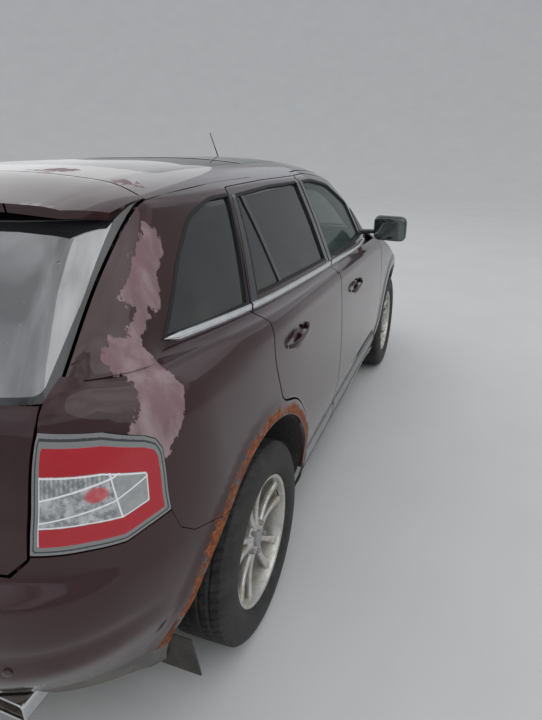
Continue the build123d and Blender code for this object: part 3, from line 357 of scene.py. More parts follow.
@dataclass
class HeightSurface:
    """A roof or hood: its height over the plan, from rows of centre, shoulder and outer heights.

    Across the car the slope turns from 0 to the shoulder's and then to the side's over two soft
    bends, so the
    height is the centre's plus each bend's turn times a clamped quadratic.
    """

    rows: Points
    flat_y: float = 300.0
    shoulder_y: float = 660.0
    outer_y: float = 1060.0
    bend: float = 162.0

    def __post_init__(self) -> None:
        """Sorts the rows by their station."""
        self.rows = np.asarray(self.rows, float)
        self.rows = self.rows[np.argsort(self.rows[:, 0])]

    def height(self, x: Points, y: Points) -> Points:
        """The height at each plan point, in millimetres."""
        station = np.clip(x, self.rows[0, 0], self.rows[-1, 0])
        centre, shoulder, outer = monotone(self.rows[:, 0], self.rows[:, 1:], station).T
        across = np.abs(y)
        first = (shoulder - centre) / (self.shoulder_y - self.flat_y)
        second = (outer - shoulder) / (self.outer_y - self.shoulder_y)

        def turned(at: float) -> Points:
            """The distance past a soft bend: 0 before it, a parabola in it and a line after it."""
            low, high = at - self.bend, at + self.bend
            inside = np.clip(across, low, high)
            return (inside - low) ** 2 / (2 * (high - low)) + np.maximum(across - high, 0)

        return centre + first * turned(self.flat_y) + (second - first) * turned(self.shoulder_y)

    def point(self, a: Points, b: Points) -> Points:
        """The point over plan position (a, b)."""
        return np.stack([a, b, self.height(a, b)], axis=1)


@dataclass
class PlanSurface:
    """A body form through plan outlines: for each height a rounded outline from the nose round one
    side to the tail.

    Its parameters are the distance s along the outline, measured at a middle height, and the row
    height v. A point's
    height is v less the row's rise times x, and no more than the ceiling, which it meets in a soft
    bend.
    """

    heights: Points
    rises: Points
    controls: Points
    middle: float
    ceiling: Optional[HeightSurface] = None
    soft: float = 16.0
    share: float = 0.47

    def __post_init__(self) -> None:
        """Measures the middle outline so that s runs in millimetres."""
        rows = len(self.heights)
        self.table = np.hstack([self.rises[:, None], self.controls.reshape(rows, -1)])
        pieces = 2 * self.controls.shape[1] - 3
        self.marks = np.linspace(0, pieces - 1e-6, OUTLINE_SAMPLES)
        plan, _ = self.outline(self.marks, np.full(OUTLINE_SAMPLES, self.middle))
        steps = np.linalg.norm(np.diff(plan, axis=0), axis=1)
        self.lengths = np.concatenate([[0.0], np.cumsum(steps + 1e-6)])
        self.end = float(self.lengths[-1])
        self.widest = float(self.lengths[np.argmax(plan[:, 1] > 0.985 * plan[:, 1].max())])
        self.tail_side = float(np.interp(1250.0, -plan[:, 0], self.lengths))

    def outline(self, t: Points, v: Points) -> tuple[Points, Points]:
        """Plan points at outline parameter t, whose odd pieces are corners and even pieces are
        straights."""
        values = monotone(self.heights, self.table, np.clip(v, self.heights[0], self.heights[-1]))
        corners = values[:, 1:].reshape(len(v), -1, 2)
        run = np.diff(corners, axis=1)
        length = np.linalg.norm(run, axis=2)
        cut = np.zeros(corners.shape[:2])
        cut[:, 1:-1] = self.share * np.minimum(length[:, :-1], length[:, 1:])
        unit = run / length[:, :, None]
        piece = np.floor(t).astype(int)
        f = (t - piece)[:, None]
        each = np.arange(len(t))
        straight = (piece % 2 == 0)[:, None]
        j = np.where(piece % 2 == 0, piece // 2, (piece - 1) // 2)
        k = np.minimum(j + 1, run.shape[1] - 1)
        start = corners[each, j] + unit[each, j] * cut[each, j][:, None]
        stop = corners[each, j + 1] - unit[each, j] * cut[each, j + 1][:, None]
        leave = corners[each, k] + unit[each, k] * cut[each, k][:, None]
        line = start + (stop - start) * f
        arc = (1 - f) ** 2 * stop + 2 * f * (1 - f) * corners[each, k] + f**2 * leave
        return np.where(straight, line, arc), values[:, 0]

    def raw(self, s: Points, v: Points) -> tuple[Points, Points]:
        """Plan points and rises at distance s and row height v."""
        return self.outline(np.interp(s, self.lengths, self.marks), v)

    def point(self, a: Points, b: Points) -> Points:
        """The point at distance a along the outline and row height b."""
        plan, rise = self.raw(a, b)
        z = b - rise * plan[:, 0]
        if self.ceiling is not None:
            top = self.ceiling.height(plan[:, 0], plan[:, 1])
            near = np.clip((z - top) / self.soft, -1, 1)
            z = np.where(z - top > self.soft, top, z - self.soft * (near + 1) ** 2 / 4)
        return np.column_stack([plan, z])

    def locate(self, axis: int, value: Points, z: Points) -> Points:
        """The parameters (s, v) of points given by one plan coordinate and their height.

        Args:
            axis: 0 where the values are x along the side, 1 where they are y on the tail, 2 where
            they are y on the nose.
            value: the coordinates.
            z: the heights.

        Returns:
            One (s, v) pair per point, by halving the interval of s while v follows the rise.
        """
        value, z = np.broadcast_arrays(np.atleast_1d(np.asarray(value, float)),
                                       np.asarray(z, float))
        low, high = {0: (0.0, self.end), 1: (self.tail_side, self.end), 2: (0.0, self.widest)}[axis]
        v = z.astype(float).copy()
        s = np.zeros(len(z))
        for _ in range(RISE_PASSES):
            near, far = np.full(len(z), low), np.full(len(z), high)
            for _ in range(HALVINGS):
                s = (near + far) / 2
                plan, rise = self.raw(s, v)
                beyond = plan[:, 0] > value if axis == 0 else (plan[:, 1] > value) == (axis == 1)
                near, far = np.where(beyond, s, near), np.where(beyond, far, s)
            v = z + rise * plan[:, 0]
        return np.column_stack([s, v])

    def over(self, plan_points: Sequence) -> Points:
        """The parameters of plan points under the ceiling, by halving v as well: higher rows lie
        further in."""
        wanted = np.asarray(plan_points, float)
        front = wanted[:, 1] < OVER_NOSE_Y
        low, high = np.full(len(wanted), self.heights[3]), np.full(len(wanted), self.heights[-1])
        s = np.zeros(len(wanted))
        for _ in range(OVER_HALVINGS):
            v = (low + high) / 2
            near, far = np.zeros(len(wanted)), np.where(front, self.widest, self.end)
            for _ in range(OVER_HALVINGS):
                s = (near + far) / 2
                plan, _ = self.raw(s, v)
                beyond = np.where(front, plan[:, 1] < wanted[:, 1], plan[:, 0] > wanted[:, 0])
                near, far = np.where(beyond, s, near), np.where(beyond, far, s)
            outside = np.where(front, plan[:, 0] > wanted[:, 0], plan[:, 1] > wanted[:, 1])
            low, high = np.where(outside, v, low), np.where(outside, high, v)
        return np.column_stack([s, v])

    def side(self, outline: Points, step: float = 30.0) -> Points:
        """A side view outline (x, z) as a loop of parameters."""
        loop = densify(outline, step)
        return self.locate(0, loop[:, 0], loop[:, 1])

    def tail(self, outline: Points, step: float = 30.0) -> Points:
        """A rear view outline (y, z) as a loop of parameters."""
        loop = densify(outline, step)
        return self.locate(1, loop[:, 0], loop[:, 1])

    def nose(self, outline: Points, step: float = 30.0) -> Points:
        """A front view outline (y, z) as a loop of parameters."""
        loop = densify(outline, step)
        return self.locate(2, loop[:, 0], loop[:, 1])

    def band(self, low: float, high: float) -> Points:
        """A loop over the whole outline between two row heights."""
        return np.array([(0, low), (self.end, low), (self.end, high), (0, high)], float)

    def outward(self, s: Points, v: Points) -> Points:
        """Unit normals that point out of the body."""
        along = self.point(s + 1, v) - self.point(s - 1, v)
        up = self.point(s, v + 1) - self.point(s, v - 1)
        return unit(np.cross(along, up))

    def trace(self, axis: int, value: Points, z: Points, out: Union[float, Points]) -> Points:
        """Points that stand off the surface by a distance, placed as in locate."""
        place = self.locate(axis, value, z)
        return self.point(*place.T) + self.outward(*place.T) * out

    def across(self, axis: int, y: Points, z: Points, out: float) -> Points:
        """A line off the nose or the tail whose y runs over both sides."""
        path = self.trace(axis, np.abs(y), z, out)
        path[:, 1] = y
        return path


def densify(loop: Sequence, step: float) -> Points:
    """A closed loop's points with no run longer than the step."""
    loop = np.asarray(loop, float)
    out = []
    for here, there in zip(loop, np.roll(loop, -1, axis=0)):
        count = max(1, int(np.ceil(np.linalg.norm(there - here) / step)))
        out.append(here + (there - here) * (np.arange(count) / count)[:, None])
    return np.vstack(out)


def open_run(points: Sequence, step: float) -> Points:
    """An open line's points with no run longer than the step."""
    points = np.asarray(points, float)
    runs = np.linalg.norm(np.diff(points, axis=0), axis=1)
    marks = np.concatenate([[0.0], np.cumsum(runs)])
    at = []
    for start, stop in zip(marks, marks[1:]):
        count = max(1, int(np.ceil((stop - start) / step)))
        at += [start + (stop - start) * k / count for k in range(count)]
    at.append(marks[-1])
    return np.column_stack([np.interp(at, marks, points[:, i]) for i in (0, 1)])


def rounded(rows: Sequence, count: int = 7) -> Points:
    """A closed outline of (x, z, radius) rows with its corners bent by parabolas that leave at the
    arc's tangents."""
    rows = np.asarray(rows, float)
    points, radii = rows[:, :2], rows[:, 2]
    out = []
    f = np.linspace(0, 1, count)[:, None]
    for i, (here, radius) in enumerate(zip(points, radii)):
        before, after = points[i - 1] - here, points[(i + 1) % len(points)] - here
        to_before, to_after = np.linalg.norm(before), np.linalg.norm(after)
        cosine = np.clip(before @ after / (to_before * to_after), -1, 1)
        cut = radius / max(np.tan(np.arccos(cosine) / 2), 1e-3)
        cut = min(cut, 0.49 * to_before, 0.49 * to_after)
        start, stop = here + before / to_before * cut, here + after / to_after * cut
        out.append((1 - f) ** 2 * start + 2 * f * (1 - f) * here + f**2 * stop)
    return np.vstack(out)


def grown(loop: Points, amount: float) -> Points:
    """A closed loop moved outwards by the amount, along each point's mean normal."""
    loop = np.asarray(loop, float)
    following = np.roll(loop, -1, axis=0)
    area = 0.5 * np.sum(loop[:, 0] * following[:, 1] - following[:, 0] * loop[:, 1])
    tangent = np.roll(loop, -1, axis=0) - np.roll(loop, 1, axis=0)
    normal = unit(np.column_stack([tangent[:, 1], -tangent[:, 0]]))
    return loop + normal * amount * np.sign(area)


def within(points: Points, loop: Points) -> Points:
    """Which points lie inside the loop, by counting the edges that a ray crosses."""
    x, y = points[:, :1], points[:, 1:]
    x0, y0 = loop[:, 0], loop[:, 1]
    x1, y1 = np.roll(x0, -1), np.roll(y0, -1)
    rise = np.where(y1 == y0, 1e-12, y1 - y0)
    crosses = ((y0 > y) != (y1 > y)) & (x < (x1 - x0) * (y - y0) / rise + x0)
    return crosses.sum(axis=1) % 2 == 1


@dataclass
class Region:
    """A trimmed piece of a surface: inside every loop of keep and outside every loop of cut."""

    surface: Union[PlanSurface, HeightSurface]
    keep: Sequence[Points]
    cut: Sequence[Points] = ()
    step: float = 24.0
    relief: Optional[Callable[[Points], Points]] = None

    def flat(self) -> tuple[Points, Points]:
        """Points and triangles in the surface's own parameters: loop points and a staggered grid,
        triangulated."""
        loops = [densify(loop, self.step * 0.7) for loop in (*self.keep, *self.cut)]
        low = np.max([loop.min(0) for loop in loops[: len(self.keep)]], axis=0)
        high = np.min([loop.max(0) for loop in loops[: len(self.keep)]], axis=0)
        a, b = np.meshgrid(np.arange(low[0], high[0], self.step),
                           np.arange(low[1], high[1], self.step * ROW_PITCH))
        a = a + (np.arange(a.shape[0]) % 2)[:, None] * self.step / 2
        grid = np.column_stack([a.ravel(), b.ravel()])
        grid = grid[self.inside(grid, loops)]
        edge = np.vstack(loops)
        if len(grid):
            near = np.ones(len(grid), bool)
            for chunk in np.array_split(np.arange(len(grid)), max(1, len(grid) // 2000)):
                gap = np.linalg.norm(grid[chunk, None] - edge[None], axis=2).min(axis=1)
                near[chunk] = gap > self.step * 0.5
            grid = grid[near]
        points = np.vstack([edge, grid]) / 1000.0
        links, start = [], 0
        for loop in loops:
            index = np.arange(start, start + len(loop))
            links += list(zip(index.tolist(), np.roll(index, -1).tolist()))
            start += len(loop)
        made = delaunay_2d_cdt([Vector(p) for p in points.tolist()], links, [], 0, 1e-7)
        flat = np.array([(p.x, p.y) for p in made[0]]) * 1000.0
        faces = np.array([f for f in made[2] if len(f) == 3])
        middle = flat[faces].mean(axis=1)
        faces = faces[self.inside(middle, loops)]
        p, q, r = (flat[faces[:, i]] for i in range(3))
        (qx, qy), (rx, ry) = (q - p).T, (r - p).T
        turn = qx * ry - qy * rx
        faces[turn < 0] = faces[turn < 0][:, ::-1]
        used, new = np.unique(faces, return_inverse=True)
        return flat[used], new.reshape(-1, 3)

    def inside(self, points: Points, loops: Sequence[Points]) -> Points:
        """Which parameter points lie in the region."""
        kept = np.ones(len(points), bool)
        for i, loop in enumerate(loops):
            hit = within(points, loop)
            kept &= hit if i < len(self.keep) else ~hit
        return kept

    def lifted(self, flat: Points, depth: float) -> Points:
        """The parameter points on the surface, moved in by the depth along the normal, plus any
        relief."""
        a, b = flat.T
        here = self.surface.point(a, b)
        along = self.surface.point(a + 1, b) - self.surface.point(a - 1, b)
        up = self.surface.point(a, b + 1) - self.surface.point(a, b - 1)
        normal = unit(np.cross(along, up))
        out = -depth + (self.relief(here) if self.relief is not None else 0.0)
        return here + normal * np.reshape(out, (-1, 1) if np.ndim(out) else ())

    def normals(self, flat: Points, depth: float) -> Points:
        """Unit normals of the lifted surface, relief included."""
        across, along = np.array([1.5, 0.0]), np.array([0.0, 1.5])
        run = self.lifted(flat + across, depth) - self.lifted(flat - across, depth)
        rise = self.lifted(flat + along, depth) - self.lifted(flat - along, depth)
        return unit(np.cross(run, rise))


# Pieces


def make_object(name: str, points: Points, faces: Sequence, body: str,
                finish: str) -> bpy.types.Object:
    """A mesh object in metres that rides on a body and wears a named finish."""
    mesh = bpy.data.meshes.new(name)
    mesh.from_pydata(np.asarray(points, float).tolist(), [], [list(map(int, f)) for f in faces])
    mesh.update()
    piece = bpy.data.objects.new(name, mesh)
    bpy.context.scene.collection.objects.link(piece)
    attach(piece, body)
    paintbox.dress(piece, finish)
    return piece


def settle(piece: bpy.types.Object, angle: float = 38.0) -> bpy.types.Object:
    """Applies the piece's modifiers, shades it smooth and keeps edges over the angle sharp."""
    graph = bpy.context.evaluated_depsgraph_get()
    ready = bpy.data.meshes.new_from_object(piece.evaluated_get(graph))
    piece.modifiers.clear()
    piece.data = ready
    ready.polygons.foreach_set("use_smooth", np.ones(len(ready.polygons), bool))
    ready.set_sharp_from_angle(angle=math.radians(angle))
    if "true_normal" in ready.attributes:
        shade_true(ready)
    return piece


def shade_true(mesh: bpy.types.Mesh) -> None:
    """Shades both skins of a panel by its surface's own normals; walls and rounded edges keep the
    mesh's."""
    skin = np.empty(len(mesh.vertices) * 3)
    mesh.attributes["true_normal"].data.foreach_get("vector", skin)
    corner = np.empty(len(mesh.loops), int)
    mesh.loops.foreach_get("vertex_index", corner)
    wanted = skin.reshape(-1, 3)[corner]
    normal = np.array([n.vector for n in mesh.corner_normals])
    sizes = np.array([p.loop_total for p in mesh.polygons])
    flat = np.repeat(np.array([p.normal for p in mesh.polygons]), sizes, axis=0)
    match = np.sum(flat * wanted, axis=1)
    chosen = np.abs(match) > 0.93
    normal[chosen] = wanted[chosen] * np.sign(match[chosen])[:, None]
    mesh.normals_split_custom_set(normal.tolist())
    mesh.attributes.remove(mesh.attributes["true_normal"])


def sided(name: str, known: dict, end: str) -> str:
    """The name itself where the frame knows it, else that of its left or right one."""
    return name if name in known else f"{name}_{end}"


def reflect(points: Points) -> Points:
    """The points on the car's other side."""
    return points * np.array([1.0, -1.0, 1.0])


def weld(points: Points, faces: Points) -> tuple[Points, Points, Points]:
    """Merges points that lie within a hundredth of a millimetre; also tells which ones are kept."""
    _, first, index = np.unique(np.round(points * WELD_GRID).astype(np.int64), axis=0,
                                return_index=True, return_inverse=True)
    faces = index.reshape(-1)[faces]
    a, b, c = faces.T
    whole = (a != b) & (b != c) & (a != c)
    return points[first], faces[whole], first


@dataclass
class Panel:
    """A shell cut from a surface, with its wall, its rounded edges and its material."""

    name: str
    region: Region
    body: str
    finish: str
    side: Side = Side.PAIR
    depth: float = 0.0
    wall: float = 22.0
    edge: float = 2.0
    replaces: Sequence[str] = ()
    coordinates: Optional[Callable[[Points], Points]] = None

    def build(self) -> list[bpy.types.Object]:
        """Makes the left piece and its mirror image, or both halves in one.

        Returns:
            The pieces; a pair's names, body and replaced nodes end in _left and _right.
        """
        flat, faces = self.region.flat()
        left = self.region.lifted(flat, self.depth) * MM
        normal = self.region.normals(flat, self.depth)
        pieces, shading = [], []
        if self.side is Side.CENTRE:
            count = len(left)
            points, both, first = weld(np.vstack([left, reflect(left)]),
                                       np.vstack([faces, faces[:, ::-1] + count]))
            pieces.append(make_object(self.name, points, both, self.body, self.finish))
            middle = np.abs(left[:, 1]) < 1e-5
            normal[middle, 1] = 0.0
            shading.append(np.vstack([normal, reflect(normal)])[first])
        else:
            for end, points, order in (("left", left, 1), ("right", reflect(left), -1)):
                body = sided(self.body, frame["bodies"], end)
                pieces.append(make_object(f"{self.name}_{end}", points, faces[:, ::order], body,
                                          self.finish))
                shading.append(normal if end == "left" else reflect(normal))
        for piece, directions in zip(pieces, shading):
            layer = piece.data.attributes.new("true_normal", "FLOAT_VECTOR", "POINT")
            layer.data.foreach_set("vector", directions.ravel())
            if self.coordinates is not None:
                values = self.coordinates(flat)
                corners = np.empty(len(piece.data.loops), int)
                piece.data.loops.foreach_get("vertex_index", corners)
                for name, first in (("lens", 0), ("rim", 2)):
                    layer = piece.data.uv_layers.new(name=name)
                    layer.data.foreach_set("uv", values[corners, first:first + 2].ravel())
            shell = piece.modifiers.new("wall", "SOLIDIFY")
            shell.thickness = self.wall * MM
            shell.offset = -1.0
            if self.edge:
                bevel = piece.modifiers.new("edge", "BEVEL")
                bevel.width = self.edge * MM
                bevel.segments = 2
                bevel.limit_method = "ANGLE"
                bevel.angle_limit = math.radians(55)
            settle(piece)
            end = piece.name.rsplit("_", 1)[-1]
            for node in self.replaces:
                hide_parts(sided(node, frame["nodes"], end))
        log.info("panel %s: %d faces", self.name, len(pieces[0].data.polygons))
        return pieces


# The car's outlines, in millimetres: columns are named above each table


# z, rise, nose x, corner x, corner y, fender y, door y, rear y, quarter y, tail corner x, y, tail x
LOWER = np.array([
    (235, 0, 2225, 2060, 640, 855, 872, 870, 800, -2055, 600, -2180),
    (380, 0, 2320, 2145, 720, 917, 912, 918, 848, -2130, 655, -2275),
    (560, 0, 2358, 2165, 775, 950, 944, 952, 912, -2210, 745, -2358),
    (752, 0, 2345, 2130, 785, 957, 949, 957, 936, -2200, 768, -2340),
    (818, 0, 2325, 2105, 782, 957, 949, 957, 936, -2160, 762, -2262),
    (950, 0, 2265, 2040, 765, 952, 946, 953, 930, -2122, 752, -2232),
    (1070, 0.02, 2195, 1960, 742, 938, 938, 945, 914, -2072, 735, -2195),
    (1140, 0.0386, 2135, 1890, 712, 915, 925, 928, 830, -2010, 722, -2122),
    (1172, 0.0386, 2105, 1850, 690, 872, 878, 852, 728, -1958, 706, -2080),
    (1240, 0.0386, 2035, 1780, 640, 790, 800, 780, 650, -1880, 640, -2000),
    (1340, 0.0386, 1900, 1640, 560, 640, 690, 660, 560, -1780, 560, -1880),
], float)
LOWER_X = (1650, 0, -1250, -1850)

# z, front x, front corner x, y, front side x, y, door y, rear y, rear corner x, y, rear x
CABIN = np.array([
    (1090, 1386, 1270, 801, 527, 905, 922, 905, -2062, 731, -2190),
    (1190, 1225, 1115, 775, 450, 871, 877, 864, -2006, 718, -2128),
    (1300, 1050, 945, 748, 350, 827, 833, 822, -1926, 706, -2048),
    (1420, 850, 745, 715, 200, 777, 784, 774, -1836, 690, -1960),
    (1530, 640, 535, 672, 50, 727, 733, 726, -1742, 668, -1866),
    (1590, 510, 395, 645, -50, 698, 703, 697, -1688, 652, -1806),
    (1645, 340, 205, 612, -200, 668, 672, 666, -1640, 630, -1750),
    (1740, -60, -190, 560, -420, 612, 615, 612, -1560, 590, -1660),
], float)
CABIN_X = (-640, -1300)
END_Y = 300

# x, centre z, shoulder z, outer z
ROOF = (
    (-2000, 1555, 1500, 1050), (-1800, 1640, 1592, 1150), (-1550, 1684, 1645, 1200),
    (-1000, 1702, 1666, 1210),
    (-200, 1698, 1660, 1210), (100, 1676, 1636, 1190), (440, 1636, 1592, 1180),
    (900, 1580, 1560, 1330),
    (1500, 1560, 1540, 1320),
)
HOOD = (
    (900, 1205, 1195, 1170), (1250, 1145, 1122, 1000), (1500, 1104, 1072, 865),
    (1800, 1058, 1020, 780),
    (2050, 1004, 962, 700), (2250, 948, 903, 620), (2420, 880, 835, 560),
)

# Side view outlines: x, z, corner radius
FRONT_DOOR = (
    (882, 340, 60), (896, 800, 400), (912, 1168, 30), (620, 1450, 500), (250, 1584, 500),
    (-60, 1629, 400),
    (-286, 1634, 10), (-300, 1190, 20), (-322, 340, 30),
)
REAR_DOOR = (
    (-297, 1634, 10), (-307, 1190, 20), (-329, 340, 30), (-862, 340, 25), (-856, 540, 500),
    (-1053, 821, 500),
    (-1238, 890, 40), (-1296, 1068, 200), (-1250, 1236, 60), (-1082, 1627, 22), (-700, 1642, 600),
)
FRONT_GLASS = (
    (575, 1196, 12), (560, 1412, 30), (235, 1542, 500), (-60, 1586, 400), (-250, 1590, 10),
    (-262, 1219, 12),
)
REAR_GLASS = ((-345, 1223, 12), (-340, 1592, 10), (-700, 1599, 700), (-1050, 1588, 12),
              (-1192, 1258, 14))
QUARTER_GLASS = (
    (-1263, 1243, 8), (-1094, 1596, 10), (-1240, 1598, 300), (-1412, 1552, 200), (-1535, 1450, 300),
    (-1640, 1322, 300), (-1708, 1250, 18),
)
SCREEN = ((0, 1207, 1), (618, 1207, 26), (634, 1400, 300), (626, 1575, 12), (0, 1575, 1))
SEAM = ((-1690, 742), (-1792, 764), (-1861, 784), (-1904, 822), (-1921, 886))
LAMP_OUTER = ((-1919, 950), (-1913, 1010), (-1911, 1060), (-1920, 1088), (-1940, 1103),
              (-2011, 1129))
LAMP_UNDER = ((-1981, 873), (-2034, 858), (-2100, 866))
HOOD_PLAN = ((2215, 0), (2205, 300), (2085, 590), (1960, 712), (1850, 738), (1385, 742))
SPOILER_PLAN = ((-1552, 643), (-1700, 640), (-1790, 560), (-1838, 340), (-1846, 0))
ROOF_PANES = ((-560, 290), (-1330, -600))
SHUT = 7.0
FRONT_AXLE, REAR_AXLE, HUB_Z, HUB_Y, TYRE_R = 1423.0, -1401.0, 375.0, 827.0, 375.0
ARCH_R = 482.0
BELT_TOP = 1171.0
SILL, NOSE_LOW, VALANCE_LOW, VALANCE_TOP = 236.0, 350.0, 240.0, 347.0
SEAM_X = -1757.0
LOWER_MIDDLE, CABIN_MIDDLE = 752.0, 1300.0


def belt(x: Points, drop: float = 0.0) -> Points:
    """The belt line's height at each x."""
    return 1172.0 - 0.0386 * np.asarray(x, float) - drop


def circle(x: float, z: float, radius: float, count: int = 72) -> Points:
    """A round loop."""
    turn = np.linspace(0, 2 * np.pi, count, endpoint=False)
    return np.column_stack([x + radius * np.cos(turn), z + radius * np.sin(turn)])


def rounded_rectangle(low: tuple, high: tuple, radius: float) -> Points:
    """A rectangle's loop with rounded corners."""
    (x0, z0), (x1, z1) = low, high
    return rounded([(x0, z0, radius), (x1, z0, radius), (x1, z1, radius), (x0, z1, radius)])


@dataclass
class BodyForm:
    """The surfaces that every panel is cut from."""

    roof: HeightSurface = field(default_factory=lambda: HeightSurface(ROOF))
    hood: HeightSurface = field(default_factory=lambda: HeightSurface(HOOD))

    def __post_init__(self) -> None:
        """Builds the side surfaces from their tables."""
        middle = np.full(len(LOWER), END_Y)
        zero = np.zeros(len(LOWER))
        columns = [(LOWER[:, 2], zero), (LOWER[:, 2], middle), (LOWER[:, 3], LOWER[:, 4])]
        columns += [(np.full(len(LOWER), x), LOWER[:, 5 + i]) for i, x in enumerate(LOWER_X)]
        columns += [(LOWER[:, 9], LOWER[:, 10]), (LOWER[:, 11], middle), (LOWER[:, 11], zero)]
        controls = np.stack([np.column_stack(pair) for pair in columns], axis=1)
        self.lower = PlanSurface(LOWER[:, 0], LOWER[:, 1], controls, LOWER_MIDDLE)
        self.front = PlanSurface(LOWER[:, 0], LOWER[:, 1], controls, LOWER_MIDDLE, self.hood)
        middle, zero = np.full(len(CABIN), END_Y), np.zeros(len(CABIN))
        columns = [(CABIN[:, 1], zero), (CABIN[:, 1], middle), (CABIN[:, 2], CABIN[:, 3]),
                   (CABIN[:, 4], CABIN[:, 5])]
        columns += [(np.full(len(CABIN), x), CABIN[:, 6 + i]) for i, x in enumerate(CABIN_X)]
        columns += [(CABIN[:, 8], CABIN[:, 9]), (CABIN[:, 10], middle), (CABIN[:, 10], zero)]
        controls = np.stack([np.column_stack(pair) for pair in columns], axis=1)
        self.cabin = PlanSurface(CABIN[:, 0], zero, controls, CABIN_MIDDLE, self.roof)


def flare(points: Points) -> Points:
    """How far the wheel arches' lips stand out: a soft ridge between two radii round each axle."""
    out = np.zeros(len(points))
    for axle in (FRONT_AXLE, REAR_AXLE):
        radius = np.hypot(points[:, 0] - axle, points[:, 2] - HUB_Z)
        lip = np.clip((560 - radius) / 45, 0, 1)
        out += 9.0 * lip**2 * (3 - 2 * lip) * (np.abs(points[:, 1]) > 600)
    return out


def sculpt(points: Points) -> Points:
    """The side's relief: the arch lips, a hollow low on the doors and a crease under the belt."""
    x, z = points[:, 0], points[:, 2]
    along = np.clip((x + 1150) / 250, 0, 1) * np.clip((1000 - x) / 250, 0, 1)
    centre = 470 - 0.035 * x
    hollow = -9.0 * np.exp(-(((z - centre) / 85) ** 2)) * along
    crease = 2.5 * np.exp(-(((z - 1112 + 0.03 * x) / 22) ** 2)) * (x < 900)
    return flare(points) + hollow + crease


def saddle(points: Points) -> Points:
    """How far the rear pillar's foot spreads, so that it runs into the shoulder behind the
    window."""
    low = np.clip((belt(points[:, 0]) + 95 - points[:, 2]) / 130, 0, 1)
    behind = np.clip((-1690 - points[:, 0]) / 110, 0,
                     1) * np.clip((np.abs(points[:, 1]) - 655) / 30, 0, 1)
    return 46.0 * low**2 * behind**2 * (3 - 2 * behind)


@dataclass
class Cup:
    """The hollow behind a door handle."""

    x: float
    z: float
    wide: float = 62.0
    high: float = 34.0
    deep: float = 26.0

    def relief(self, points: Points) -> Points:
        """How far the skin is pushed in at each point."""
        across, up = (points[:, 0] - self.x) / self.wide, (points[:, 2] - self.z) / self.high
        return -self.deep * np.clip(1 - (across**2 + up**2), 0, 1) ** 0.7


FRONT_CUP = Cup(40, 1003)
REAR_CUP = Cup(-1045, 1066)


